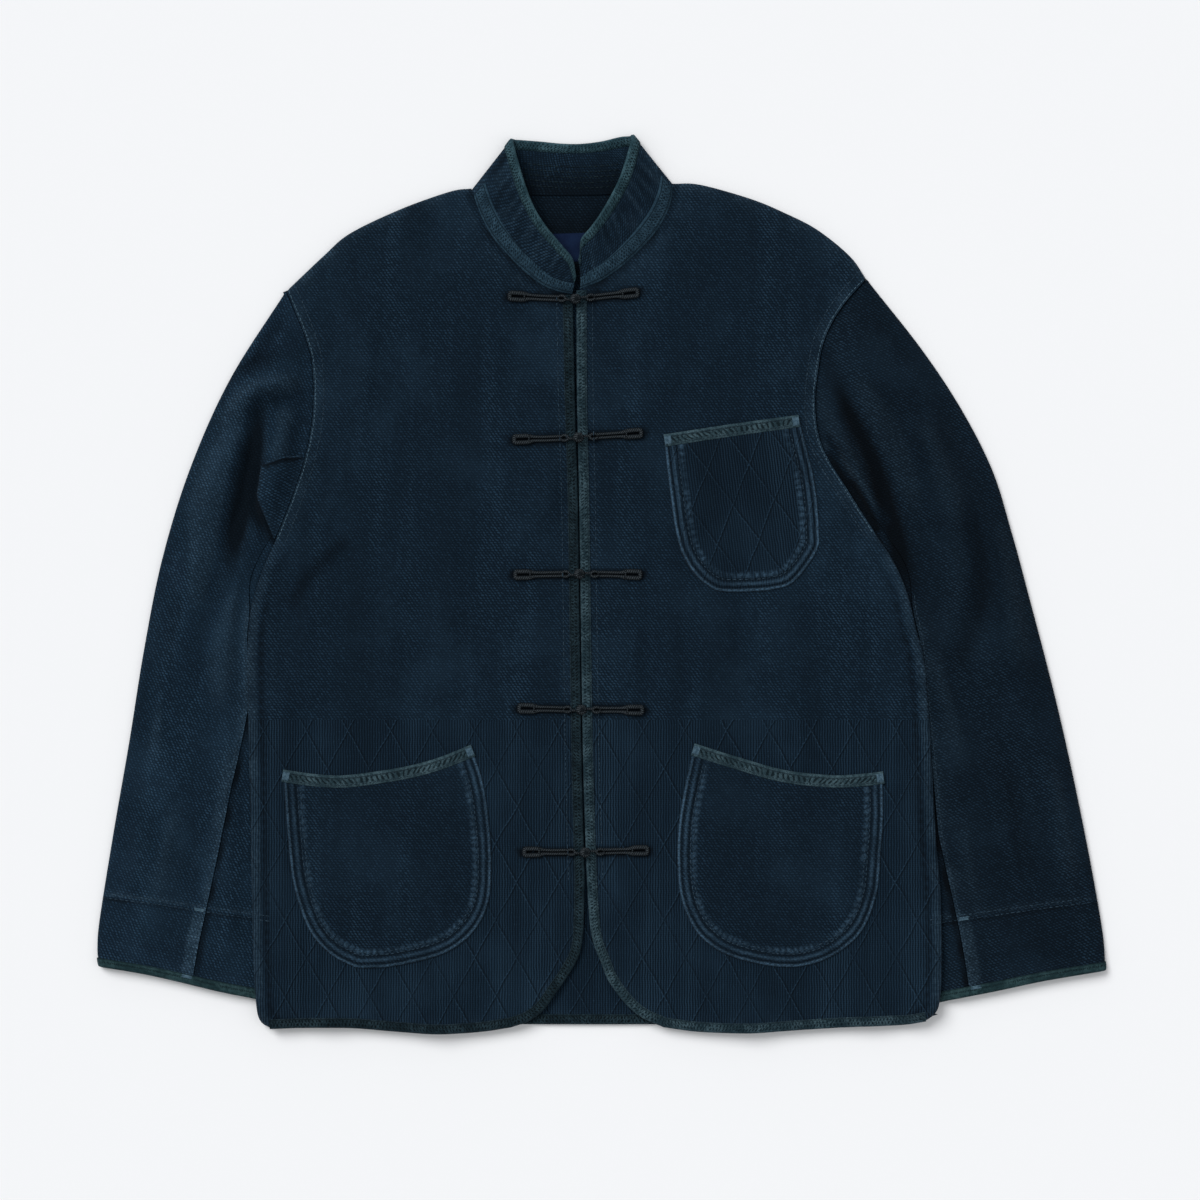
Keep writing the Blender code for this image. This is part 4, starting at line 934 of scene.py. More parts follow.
def mottled(graph, height, gain=1.0):
    """Indigo, darker between the threads and paler on them, uneven over the cloth, paler from rubbing, and
    darkened with painted shade.
    """
    low, middle, high, faded = (scaled(colour, gain) for colour in (DARK, MID, LIGHT, FADED))
    tone = height.ramp(0.1, 0.9).blend(low, middle)
    bands = graph.noise(0.045, 3.0, roughness=0.6, at=(graph.x, graph.y * 0.1, 11.0))
    tone = (bands.ramp(0.45, 0.7) * height.ramp(0.2, 0.9) * 0.55).blend(tone, high)
    tone = (bands.ramp(0.5, 0.3) * 0.34).blend(tone, low)
    tone = (graph.noise(0.012, 4.0, roughness=0.6).ramp(0.44, 0.72) * 0.18).blend(tone, high)
    flecks = graph.noise(0.5, 3.0, 4.0, 0.7).ramp(0.55, 0.72) * height.ramp(0.3, 0.9)
    tone = (flecks * 0.75).blend(tone, high)
    worn_and_shaded = graph.attribute("wear")
    rub = calc("MAXIMUM", worn_and_shaded, 0.0) * height.ramp(0.15, 0.9, 0.35, 1.0)
    tone = (rub * graph.noise(0.4, 3.0).ramp(0.35, 0.65, 0.3, 1.0) * 0.8).blend(tone, faded)
    # Painted shade: negative values darken the cloth nearly to black.
    return (calc("MINIMUM", worn_and_shaded, 0.0) * -0.9).blend(tone, scaled(low, 0.3))


def scaled(colour, gain):
    return tuple(part * gain for part in colour)


def diamond_lines(graph):
    """Crossed rows of running stitches that make tall diamonds, and the furrow beside each, from 0 to 1."""
    across = graph.x / DIAMOND_WIDE + (graph.noise(0.05, z=2.0) - 0.5) * 0.09
    up = graph.y / DIAMOND_TALL
    dash = cosine(graph.y, 3.1).ramp(-0.6, 0.4, 0.3, 1.0)
    places = [calc("FRACT", place + (TURNS + 0.5)) for place in (across + up, across - up)]
    rows = calc("MAXIMUM", *(hump(place, 0.475, 0.026) for place in places))
    return rows * dash, calc("MAXIMUM", *(hump(place, 0.518, 0.036) for place in places))


def ribbed(graph, gain):
    """The height and the tone of finely ribbed cloth with stitched diamonds."""
    x = graph.x + (graph.noise(0.12) - 0.5) * 1.6
    ribs = cosine(x, RIB_PITCH) * 0.5 + cosine(graph.y, 1.7) * 0.16
    rows, furrows = diamond_lines(graph)
    tone = mottled(graph, ribs.ramp(-0.45, 0.5), gain)
    faint = graph.noise(0.02, z=5.0).ramp(0.38, 0.6, 0.4, 1.0)
    # Painted shade in the furrow beside each stitched row.
    tone = (furrows * faint * 0.62).blend(tone, scaled(DARK, 0.5))
    return ribs * 0.45 - furrows * 0.9 + rows * 0.6, (rows * faint * 0.62).blend(tone, LIGHT)


def body_cloth(name):
    """Rice-grain cloth above the waist and ribbed cloth with stitched diamonds below it."""
    graph = Graph(name, 0.9)
    grains = grain_height(graph)
    relief, tone = ribbed(graph, 0.76)
    lower = graph.y.ramp(LOWER_CLOTH - 0.4, LOWER_CLOTH + 0.4, 1.0, 0.0)
    height = grains + (relief - grains) * lower
    return graph.finish(lower.blend(mottled(graph, grains), tone), height + graph.noise(2.4) * 0.3, 0.6)


def grain_cloth(name, gain, depth=0.6, low=0.0):
    graph = Graph(name, 0.9)
    height = grain_height(graph).ramp(-low, 1.0 + low)
    return graph.finish(mottled(graph, height, gain), height + graph.noise(2.4) * 0.35, depth)


def pocket_cloth(name, diamonds):
    """A patch pocket: its ground, and the ridges, dots paler from rubbing and grooves with painted shade of
    the double-sewn edge.
    """
    graph = Graph(name, 0.9)
    if diamonds:
        relief, tone = ribbed(graph, 0.66)
    else:
        relief = grain_height(graph)
        tone = mottled(graph, relief, 0.91)
    wide = graph.attribute("depth") + (graph.noise(0.09, 3.0, 3.0) - 0.5) * 1.6
    patchy = graph.noise(0.04, 3.0, 9.0).ramp(0.36, 0.58, 0.45, 1.0)
    chips = graph.noise(0.55, 3.0, 5.0).ramp(0.38, 0.6, 0.45, 1.0)
    outer, inner = hump(wide, 1.4, 1.9), hump(wide, 6.7, 2.4)
    grooves = calc("MAXIMUM", hump(wide, 3.6, 1.5) * 0.8, hump(wide, 10.0, 1.8))
    run = graph.attribute("run") + graph.noise(0.09, z=6.0) * 13.0
    dots = cosine(run, DOT_PITCH).ramp(-1.7, 1.2) * hump(wide, 13.8, 3.9)
    dots = dots * graph.noise(0.055, z=12.0).ramp(0.33, 0.53, 0.15, 1.0)
    # Painted shade in the edge's sewn grooves.
    tone = (grooves * 0.7).blend(tone, scaled(DARK, 0.8))
    tone = (calc("MAXIMUM", inner * 0.7, dots) * chips * patchy * 0.72).blend(tone, PALE_EDGE)
    tone = (outer * chips * patchy * 1.125).blend(tone, PALE_EDGE)
    ridges = outer * 1.2 + inner + dots * 0.5 - grooves * 1.3
    return graph.finish(tone, relief + graph.noise(2.4) * 0.3 + ridges, 0.6)


def tape_cloth(name, dark, base, light, middle=4.0, slant=1.0, pitch=4.4, reach=1.9, pebbled=False,
               grooves=(1.3,)):
    """Cotton tape, faded paler in patches, with painted shade along its grooves: pebbled, or with slanting
    dark stitches let into its middle.
    """
    graph = Graph(name, 0.85)
    off = graph.y - middle
    lean = graph.noise(0.012, 1.0, at=(graph.x, 5.0)).ramp(0.4, 0.6, -slant, slant)
    ticks = sine(graph.x + off * lean + graph.noise(0.2) * 4.4, pitch)
    ticks = (cosine(graph.y, 2 * pitch) * ticks).ramp(0.0, 0.55) if pebbled else ticks.ramp(-0.1, 0.75)
    ticks = ticks * calc("ABSOLUTE", off).ramp(reach * 0.6, reach, 1.0, 0.0)
    ticks = ticks * graph.noise(0.3, z=8.0).ramp(0.3, 0.5, 0.4, 1.0)
    weft = sine(graph.x + graph.y * 0.8, 1.3)
    fine = graph.noise(0.9, 3.0, roughness=0.7)
    tone = (fine + weft * 0.08).ramp(0.36, 0.6).blend(scaled(base, 0.62), base)
    broad = graph.noise(0.07, 4.0, roughness=0.65).ramp(0.42, 0.62)
    tone = (broad * fine.ramp(0.35, 0.6) * 0.85).blend(tone, light)
    rub = graph.attribute("wear") * graph.noise(0.4, 3.0).ramp(0.42, 0.62)
    tone = (rub * 0.6).blend(tone, scaled(light, 1.3))
    groove = hump(graph.y, grooves[0], 0.8)
    for place in grooves[1:]:
        groove = calc("MAXIMUM", groove, hump(graph.y, place, 1.0))
    # Painted shade along the grooves.
    tone = (groove * (0.55 if len(grooves) == 1 else 0.85)).blend(tone, dark)
    relief = graph.noise(2.0) * 0.4 + weft * 0.15 - ticks - groove * 0.8
    return graph.finish((ticks * 0.92).blend(tone, dark), relief, 0.55)


def cord_cloth(name):
    """Cord of twisted strands, with a painted highlight along its top; its sides stay dark."""
    graph = Graph(name, 0.8, 0.03)
    height = sine(graph.x / 1.5 + graph.y / 3.0, 1.0).ramp(-0.95, 0.8)
    tone = height.blend((0.0010, 0.0020, 0.0030), (0.0065, 0.0100, 0.0130))
    highlight_patches = graph.noise(1.1, 3.0).ramp(0.3, 0.65, 0.35, 1.0)
    # Painted highlight: the top of the cord, where the light falls, is blended paler in patches.
    tone = (graph.attribute("wear").ramp(0.45, 1.0) * highlight_patches * height).blend(tone, (0.052, 0.064, 0.073))
    return graph.finish(tone, height + graph.noise(3.0) * 0.3, 0.5)


def thread_material(name, base, light):
    graph = Graph(name, 0.8)
    tone = graph.noise(0.4, 3.0).ramp(0.35, 0.65).blend(base, light)
    return graph.finish(tone, sine(graph.x + graph.y, 0.8), 0.1)


def label_material(name):
    """A bare woven label: plain satin ground, with nothing on it."""
    graph = Graph(name, 0.6)
    weft = sine(graph.y, 0.9)
    tone = graph.noise(0.07, 3.0).ramp(0.35, 0.65).blend((0.0026, 0.0080, 0.0300), (0.0046, 0.0135, 0.0430))
    tone = (weft.ramp(-0.5, 1.0) * 0.3).blend(tone, (0.009, 0.022, 0.058))
    return graph.finish(tone, weft, 0.12)


BODY_CLOTH = body_cloth("body_sashiko")
# Lit and shaded copies of one cloth: the right sleeve is painted lighter, as the light falls on it, and the
# left one darker, as it lies in shade.
SLEEVE_CLOTHS = {
    "right": grain_cloth("right_sleeve_sashiko", 1.27),
    "left": grain_cloth("left_sleeve_sashiko", 0.72),
}
COLLAR_MATERIAL = grain_cloth("collar_sashiko", 0.98, depth=0.3, low=0.15)
POCKET_CLOTH = pocket_cloth("pocket_sashiko", False)
DIAMOND_CLOTH = pocket_cloth("pocket_diamonds", True)
COLLAR_TAPE = tape_cloth(
    "collar_tape_look", (0.002, 0.008, 0.012), (0.016, 0.042, 0.055), (0.044, 0.094, 0.116),
    pitch=2.6, slant=0.5, reach=5.0, pebbled=True,
)
TAPE_CLOTH = tape_cloth(
    "indigo_tape_look", (0.003, 0.008, 0.011), (0.017, 0.037, 0.048), (0.054, 0.094, 0.113), reach=2.7,
)
PALE_TAPE = tape_cloth(
    "front_tape_look", (0.003, 0.009, 0.013), (0.012, 0.028, 0.038), (0.051, 0.090, 0.110),
    pitch=2.8, slant=0.6, reach=4.2, pebbled=True,
)
# A shaded copy of the front tape, painted darker for the right front's binding; the back's hem binding uses
# it too.
SHADED_TAPE = tape_cloth(
    "dark_tape_look", (0.001, 0.003, 0.004), (0.006, 0.015, 0.021), (0.020, 0.040, 0.052),
    pitch=2.8, slant=0.6, reach=4.2, pebbled=True,
)
CUFF_TAPE = tape_cloth(
    "cuff_tape_look", (0.003, 0.009, 0.011), (0.010, 0.027, 0.032), (0.030, 0.064, 0.070),
    pitch=1.9, reach=0.8,
)
NECK_TAPE_CLOTH = tape_cloth(
    "neck_tape_look", (0.003, 0.009, 0.015), (0.012, 0.031, 0.050), (0.028, 0.063, 0.094),
    middle=7.2, pitch=2.6, slant=0.5, reach=5.6, pebbled=True, grooves=(2.0, 12.4),
)
CORD_CLOTH = cord_cloth("charcoal_cord_look")
THREAD = thread_material("indigo_thread", (0.012, 0.026, 0.042), (0.036, 0.066, 0.096))
THREAD_DARK = thread_material("dark_thread", (0.008, 0.016, 0.024), (0.024, 0.042, 0.058))
COLLAR_THREAD = thread_material("collar_thread", (0.002, 0.006, 0.009), (0.014, 0.027, 0.034))
THREAD_PALE = thread_material("pale_thread", (0.040, 0.080, 0.115), (0.085, 0.150, 0.200))
LABEL_CLOTH_MATERIAL = label_material("bare_label")


# How thick the fronts and gussets are made under their upper face
THIN = 1.3

# Spacing of the points in the fronts, the back, the label and the pockets
FINE = 4.6
COARSE = 6.5
LABEL_FINE = 3.0
POCKET_FINE = 4.0

# How far in from a folded edge a front reaches its full height
EDGE_ROLL = 4.5

# How far apart the points of each edge of a front lie
FRONT_EDGES = {"neck": 4, "centre": 4, "corner": 3, "hem": 4, "side": 4, "armhole": 4, "shoulder": 4}

# How far inside each line of the table an edge of the back lies
BACK_INSETS = {
    "neck": -1.2, "shoulder": BACK_INSET, "armhole": 0.2, "side": BACK_INSET, "hem": BINDING_REACH,
}

# Painted shade along a soft crease that runs down to the right side seam, under the armhole
SIDE_CREASE_SHADE = np.array([(-216, 408), (-233, 392), (-246, 377), (-256, 360)], float)


def panel_loop(edges, insets):
    """A panel's counter-clockwise edge, moved in by each named edge's own distance."""
    loop = np.vstack([line[:-1] for _, line in edges])
    room = np.concatenate([np.full(len(line) - 1, insets.get(name, 0.0)) for name, line in edges])
    if closed_area(loop) < 0:
        loop, room = loop[::-1], np.roll(room[::-1], -1)
    return moved_in(loop, room)


def edge_wear(places, depth, reach=5.0):
    """Wear along an edge, uneven as it runs."""
    return np.clip(np.exp(-depth / reach) * (0.55 + 0.5 * noise(places, 34, 11)), 0, 1)


def under_frogs_dark(places):
    """Painted shade round a frog's cords and knot, where the cloth is also shielded from fading, from 0 to 1
    close to them.
    """
    found = np.zeros(len(places))
    for frog in FROGS:
        gap = gap_to(fine_curve([frog.right_end, frog.knot, frog.left_end]), places)
        knot = np.linalg.norm(places - np.array(frog.knot), axis=1)
        found = np.maximum(found, 1 - smoothstep(gap, 2.6, 6.0))
        found = np.maximum(found, 1 - smoothstep(knot, 6.0, 11.0))
    return found


def front_wear_and_shade(places, depth):
    """Edges paler from rubbing, a paler turning at each side seam, and painted shade in the furrow inside
    that turning, along the neck, in a crease under the right armhole and under the frogs.
    """
    gap = np.minimum(*(gap_to(through(side.side, 4), places) for side in SIDES))
    neck = np.minimum(*(gap_to(through(side.neck, 4), places) for side in SIDES))
    low = 1 - smoothstep(places[:, 1], 330, 420)
    # Painted shade in the furrow inside the turning.
    turning = (0.55 * bell(gap - 5, 2.6) - 0.85 * bell(gap - 11.5, 1.9)) * low
    # Painted shade under the frogs, along the neck and in the crease under the right armhole.
    shade = 1.1 * under_frogs_dark(places) + 0.9 * (1 - smoothstep(neck, 1.5, 4.5))
    shade = shade + 0.55 * bell(gap_to(SIDE_CREASE_SHADE, places), 5.0)
    return np.maximum(edge_wear(places, depth) + turning, -1) - shade


def front_run(side):
    """A front's bound edge: down its centre, round its corner and along its hem."""
    return np.vstack([through(side.centre, 3)[:-1], through(side.corner, 2.5)[:-1], through(side.hem, 3)])


def make_front(side):
    edges = [(name, through(getattr(side, name), spacing)) for name, spacing in FRONT_EDGES.items()]
    loop = panel_loop(edges, {name: BINDING_REACH for name in ("centre", "corner", "hem")})
    folded = [through(rows, 4) for rows in (side.side, side.shoulder)]

    def tops(plan, depth):
        low = back_bottom(plan) + SEAM_GAP + THIN
        gap = np.minimum(*(gap_to(line, plan) for line in folded))
        return low + (front_top(plan) - low) * rounded(gap / EDGE_ROLL)

    name = f"front_{side.name}"
    flat_shell(
        f"{name}_cloth", loop, FINE, tops, lambda plan, top: top - THIN, BODY_CLOTH,
        wear_and_shading_at=front_wear_and_shade, nodes=(name,),
    )
    # Painted shade: the right front's binding takes the darker, shaded copy of the tape.
    cloth = SHADED_TAPE if side is RIGHT else PALE_TAPE
    bind_edge(f"front_binding_{side.name}", front_run(side), -side.sign, front_top, cloth)


# A binding's section: how far in from the cloth's edge, the face it is read from and how far off that face
BINDING_SECTION = [
    (7.2, 1, 0.12), (7.3, 1, 0.6), (6.8, 1, 0.98), (5.0, 1, 1.16), (3.0, 1, 1.2), (1.2, 1, 1.1),
    (0.1, 1, 0.82), (-0.8, 1, 0.28), (-1.15, 0, 0), (-0.8, -1, 0.28), (0.1, -1, 0.7), (4.0, -1, 0.8),
    (7.2, -1, 0.7), (7.2, -1, 0.1), (0.6, -1, 0.1), (0.6, 1, 0.1),
]


def bind_edge(name, run, hand, top_at, cloth):
    """A tape folded round an edge of a panel; hand is 1 where the panel lies to the right of the run."""
    edge = beside(run, hand * BINDING_REACH)
    inwards = -left_of(headings(edge)) * hand
    rows = []
    for inset, face, off in BINDING_SECTION:
        top = top_at(edge + inwards * max(0.3, inset))
        rows.append(np.column_stack([edge + inwards * inset, top + (face - 1) * CLOTH / 2 + face * off]))
    around = running(np.array([(inset, face * 0.8) for inset, face, _ in BINDING_SECTION]))
    tube(
        f"{name}_tape", np.stack(rows, axis=1), grid_uv(running(edge), around), cloth,
        wear=uneven(edge, 0.35, 46, 5)[:, None], cloth=True, nodes=(name,), slot="tape",
    )


def back_wear_and_shade(places, depth):
    """Edges paler from rubbing, and painted deep shade inside the neck."""
    across, up = places.T
    neck = smoothstep(up, 610, 640) * (1 - smoothstep(np.abs(across + 26), 50, 70))
    shade = (-0.55 - 0.4 * smoothstep(-up, -695, -660)) * neck
    return np.where(neck > 0.01, shade, edge_wear(places, depth))


def back_tops(plan, depth):
    """The back's upper face, a little uneven inside the neck."""
    wave = 0.25 * (1 + noise(plan, 48, 9))
    return back_top(plan) + wave * smoothstep(depth, 2, 20) * smoothstep(plan[:, 1], 560, 600)


def make_back():
    rows = [
        ("neck", BACK_NECK),
        ("shoulder", LEFT.shoulder[::-1]),
        ("armhole", LEFT.armhole[::-1]),
        ("side", LEFT.side[:0:-1]),
        ("hem", [LEFT.side[1], *BACK_HEM[::-1], RIGHT.side[1]]),
        ("side", RIGHT.side[1:]),
        ("armhole", RIGHT.armhole),
        ("shoulder", RIGHT.shoulder),
    ]
    edges = [(name, through(line, 5)) for name, line in rows]
    flat_shell(
        "back_cloth", panel_loop(edges, BACK_INSETS), COARSE, back_tops, lambda plan, top: back_bottom(plan),
        BODY_CLOTH, wear_and_shading_at=back_wear_and_shade, nodes=("back",),
    )
    bind_edge("back_hem_binding", through(BACK_HEM[::-1], 4), 1, back_top, SHADED_TAPE)


def make_label():
    """The bare label sewn inside the neck."""
    def tops(plan, depth):
        wave = 0.25 * (1 + noise(plan, 26, 4)) * smoothstep(depth, 1, 6)
        return back_top(plan) + 0.55 + 0.5 * smoothstep(depth, 0, 1.6) + wave

    flat_shell(
        "label_cloth", np.array(LABEL_CORNERS), LABEL_FINE, tops, lambda plan, top: back_top(plan) + 0.1,
        LABEL_CLOTH_MATERIAL, nodes=("label",), slot="label",
    )


CHEST_TURN = math.radians(7.5)
CHEST_MIDDLE = (110.0, 440.0)
POCKET_RINGS = (0.8, 1.9, 3.2, 5.0)

# Across a pocket's tape: how far below the pocket's top edge, and the heights of its two faces there
TAPE_OFFSETS = np.array([-1.4, -0.8, 0.6, 3, 5.5, 8.0, 8.8])
TAPE_LIFTS = [-0.9, 0.3, 0.85, 1.0, 0.95, 0.8, 0.2]
TAPE_DROPS = [-1.7, -0.6, 0.0, 0.0, 0.0, 0.0, 0.0]
TAPE_OVER_FRONT = 1.9


def pocket_lines(pocket):
    """A pocket's whole edge, its top edge, and 1 where the pocket lies to the right of that edge."""
    top = through(pocket.top, 4)
    hand = 1 if closed_area(np.vstack([top, pocket.rest])) < 0 else -1
    return np.vstack([top[:-1], through(pocket.rest, 4)[:-1]]), top, hand


def chest_uv(plan):
    """Texture places turned with the chest pocket."""
    x, y = (plan - CHEST_MIDDLE).T
    cos, sin = math.cos(CHEST_TURN), math.sin(CHEST_TURN)
    return np.column_stack([x * cos + y * sin, y * cos - x * sin]) * MM


def make_pocket(pocket):
    """A patch pocket with a soft edge, and the tape along its top."""
    loop, top_line, hand = pocket_lines(pocket)
    chest = pocket.name == "pocket_chest"

    def tops(plan, depth):
        belly = 0.9 * smoothstep(depth, 6, 40) + 0.35 * noise(plan, 38, 21) * smoothstep(depth, 4, 18)
        return front_top(plan) + 0.45 + 1.35 * rounded(depth / 2.2) + belly * 0.6

    flat_shell(
        f"{pocket.name}_cloth", loop, POCKET_FINE, tops, lambda plan, top: front_top(plan) + 0.12,
        DIAMOND_CLOTH if chest else POCKET_CLOTH, uv_at=chest_uv if chest else None,
        nodes=(pocket.name,), rings=POCKET_RINGS, rim=through(pocket.rest, 3),
    )
    top, low, uv = strip(
        top_line, TAPE_OFFSETS * hand, lambda places: front_top(places) + TAPE_OVER_FRONT,
        TAPE_LIFTS, TAPE_DROPS,
    )
    uv[..., 1] *= hand
    shell(
        f"{pocket.name}_tape", top, low, uv, TAPE_CLOTH, wear=uneven(top_line, 0.4, 30, 8)[:, None],
        nodes=(f"{pocket.name}_binding",), slot="tape",
    )


ALLOWANCE_OFFSETS = np.array([-3.2, -1.0, 1.2, 3.4])
ALLOWANCE_HEIGHT = 2.2
ALLOWANCE_DROP = -0.6
ALLOWANCE_DOWN = 62
# Painted shade: the allowance inside the armhole is darkened all over.
ALLOWANCE_SHADE = -0.6


def make_allowance(side):
    """The seam allowance inside an armhole, which runs on for a little down the side seam."""
    down = through(side.side, 4)
    down = down[running(down) > running(down)[-1] - ALLOWANCE_DOWN]
    line = np.vstack([down[:-1], through(side.armhole, 4)])
    top, low, uv = strip(
        line, ALLOWANCE_OFFSETS * side.sign, lambda places: np.full(len(places), ALLOWANCE_HEIGHT),
        [0.0] * 4, [ALLOWANCE_DROP] * 4,
    )
    shell(f"armhole_{side.name}_allowance", top, low, uv, SLEEVE_CLOTHS[side.name], wear=ALLOWANCE_SHADE)


# Points along the collar between two of its sections, and across it
COLLAR_ALONG = 9
COLLAR_ACROSS = 15
MIDDLE_OF_ARM = 60

# The lowest that the collar's middle surface and its tape lie
COLLAR_REST = 1.6
TAPE_REST = 0.02

# The height that the collar needs for a tape of its full width
FULL_HEIGHT = 34

# Across the tape over the collar's top edge: how far down the collar, and how far off each of its faces
TOP_TAPE_SHARES = [0.18, 0.17, 0.14, 0.1, 0.06, 0.025, 0.005]
TOP_TAPE_LIFTS = np.array([0.1, 0.75, 0.95, 1.0, 1.0, 0.9, 0.6])

# Across the tape along the collar's foot, in the same way
FOOT_TAPE_SHARES = [-0.015, 0.0, 0.07, 0.14, 0.21, 0.26, 0.275]
FOOT_TAPE_REST = 0.1
FOOT_TAPE_LIFTS = np.array([0.25, 0.95, 1.25, 1.3, 1.25, 1.0, 0.3])


def grid_normals(grid):
    return unit(np.cross(np.gradient(grid, axis=0), np.gradient(grid, axis=1)))


COLLAR_FEET = fine_curve([section[:3] for section in COLLAR], COLLAR_ALONG)
COLLAR_TIPS = fine_curve([section[3:] for section in COLLAR], COLLAR_ALONG)
COLLAR_PLACES = np.arange(len(COLLAR_FEET)) / COLLAR_ALONG


def widened(shares, most):
    """Shares of the collar's height that keep a tape's width where the collar gets low at its ends."""
    height = np.linalg.norm(COLLAR_TIPS - COLLAR_FEET, axis=1)
    return np.array(shares) * np.clip(FULL_HEIGHT / height, 1, most)[:, None]


def collar_grid(shares):
    """Points of the collar's middle surface at shares of its height, the same everywhere or by place."""
    shares = np.atleast_2d(shares)[..., None]
    grid = COLLAR_FEET[:, None] + (COLLAR_TIPS - COLLAR_FEET)[:, None] * shares
    corner = np.minimum(np.abs(COLLAR_PLACES - 8), np.abs(COLLAR_PLACES - 16))
    wave = 0.5 * noise(grid, 34, 13) * np.sin(np.pi * shares[..., 0])
    grid = grid + grid_normals(grid) * (wave * smoothstep(corner, 0.6, 2.0)[:, None])[..., None]
    grid[..., 2] = np.maximum(grid[..., 2], COLLAR_REST)
    return grid


def collar_uv(grid):
    across = np.zeros(grid.shape[:2])
    across[:, 1:] = np.cumsum(np.linalg.norm(np.diff(grid, axis=1), axis=2), axis=1)
    return np.dstack([np.broadcast_to(running(grid[:, 0])[:, None], across.shape), across]) * MM


def make_collar():
    """The stand collar, the tape over its top edge and the tapes along the foot of its two arms."""
    grid = collar_grid(np.linspace(-0.035, 0.985, COLLAR_ACROSS))
    off = grid_normals(grid) * COLLAR_CLOTH / 2
    shares = np.linspace(0, 1, COLLAR_ACROSS)
    back = (smoothstep(COLLAR_PLACES, 8, 9.5) * (1 - smoothstep(COLLAR_PLACES, 14.5, 16)))[:, None]
    uv = collar_uv(grid)
    # Streaks for the collar's puckers, painted as light and shade.
    pucker_shading = noise(uv / MM * [1.0, 0.12], 9, 31)
    # Paler near the top edge from rubbing; painted shade on the back of the collar, deepest near its foot.
    wear = 0.4 * smoothstep(shares, 0.7, 1) - back * (0.1 + 0.75 * (1 - smoothstep(shares, 0.05, 0.75)))
    wear = wear + 0.5 * pucker_shading * (1 - back)
    shell("collar_cloth", grid + off, grid - off, uv, COLLAR_MATERIAL, wear=wear, nodes=("collar",))
    make_collar_tape()
    arms = {
        "right": slice(0, COLLAR_RIGHT_ARM_END * COLLAR_ALONG + 1),
        "left": slice(COLLAR_LEFT_ARM_START * COLLAR_ALONG, None),
    }
    for name, rows in arms.items():
        foot = collar_grid(widened(FOOT_TAPE_SHARES, 1.9))[rows]
        outwards = grid_normals(foot)
        outwards *= 1 if outwards[len(foot) // 2, 3, 2] > 0 else -1
        lifts = FOOT_TAPE_LIFTS[:, None]
        outer, inner = (foot + outwards * (COLLAR_CLOTH / 2 + off) for off in (lifts, FOOT_TAPE_REST))
        shell(
            f"neck_tape_{name}_cloth", outer, inner, collar_uv(foot), NECK_TAPE_CLOTH,
            wear=uneven(foot, 0.45, 26, 14), nodes=(f"neck_tape_{name}",), slot="tape",
        )


def make_collar_tape():
    """The tape folded over the collar's top edge, all the way round it."""
    top = collar_grid(1 - widened(TOP_TAPE_SHARES, 2.6))
    off = grid_normals(top) * (TOP_TAPE_LIFTS + COLLAR_CLOTH / 2)[:, None]
    crown = top[:, -1] + unit(top[:, -1] - top[:, -2]) * TAPE
    sections = np.concatenate([top + off, crown[:, None], (top - off)[:, ::-1]], axis=1)
    sections[..., 2] = np.maximum(sections[..., 2], TAPE_REST)
    across = running(sections[MIDDLE_OF_ARM])
    uv = grid_uv(running(crown), np.minimum(across, across[-1] - across))
    wear = uneven(crown, 0.4, 30, 12)[:, None]
    tube("collar_tape", sections, uv, COLLAR_TAPE, wear=wear, cloth=True, slot="tape")


# A strap's cord in the block at its far end and nearer the knot, and its points round and along
CORD_THICK = 3.7
CORD_THIN = 2.3
CORD_FLATNESS = 0.8
CORD_ROUND = 10
CORD_STEP = 1.2
STRAP_POINTS = 80

# How long that block is, and how far from the knot the eye on each strap lies
BLOCK_LONG = 14.0
EYE_AWAY = {"right": 11.6, "left": 12.8}

# A height in metres over everything, where rays start downwards
ABOVE_ALL = 0.2


def tree_over(pieces):
    """A search tree over some pieces, for finding their height from above, in the frame's metres."""
    points, faces = [], []
    for piece in pieces:
        start = len(points)
        points += [vertex.co.copy() for vertex in piece.data.vertices]
        faces += [tuple(start + corner for corner in face.vertices) for face in piece.data.polygons]
    return BVHTree.FromPolygons(points, faces)


def height_over(tree, place, floor=0.0):
    """The height in millimetres of what lies under a place of the garment."""
    x, y = (place[0] + SHIFT[0]) * MM, (place[1] + SHIFT[1]) * MM
    hit = tree.ray_cast(Vector((x, y, ABOVE_ALL)), Vector((0, 0, -1)))[0]
    return hit.z / MM if hit is not None else floor


def smoothed(values):
    """Heights smoothed twice upwards only, so that nothing under them sticks out, and then twice more."""
    for upwards in (True, True, False, False):
        padded = np.concatenate([values[:1], values, values[-1:]])
        softer = (padded[:-2] + 2 * padded[1:-1] + padded[2:]) / 4
        values = np.maximum(values, softer) if upwards else softer
    return values


def cord_sections(path, thick, flatness=1.0, taper=True):
    """Round sections along a path of points, their texture places and how far up each point is turned."""
    ahead = headings(path)
    side = unit(np.column_stack([-left_of(ahead[:, :2]), np.zeros(len(path))]))
    up = np.cross(side, ahead) * flatness
    angles = np.linspace(0, 2 * math.pi, CORD_ROUND, endpoint=False)
    radius = np.full(len(path), 0.5) * thick
    if taper:
        shares = np.linspace(0, 1, len(path))
        radius = radius * np.clip(rounded(np.minimum(shares, 1 - shares) * len(path) / 3), 0.25, 1)
    ring = np.cos(angles)[:, None] * side[:, None] + np.sin(angles)[:, None] * up[:, None]
    sections = path[:, None] + ring * radius[:, None, None]
    return sections, grid_uv(running(path), angles * np.mean(thick) / 2), np.sin(angles)


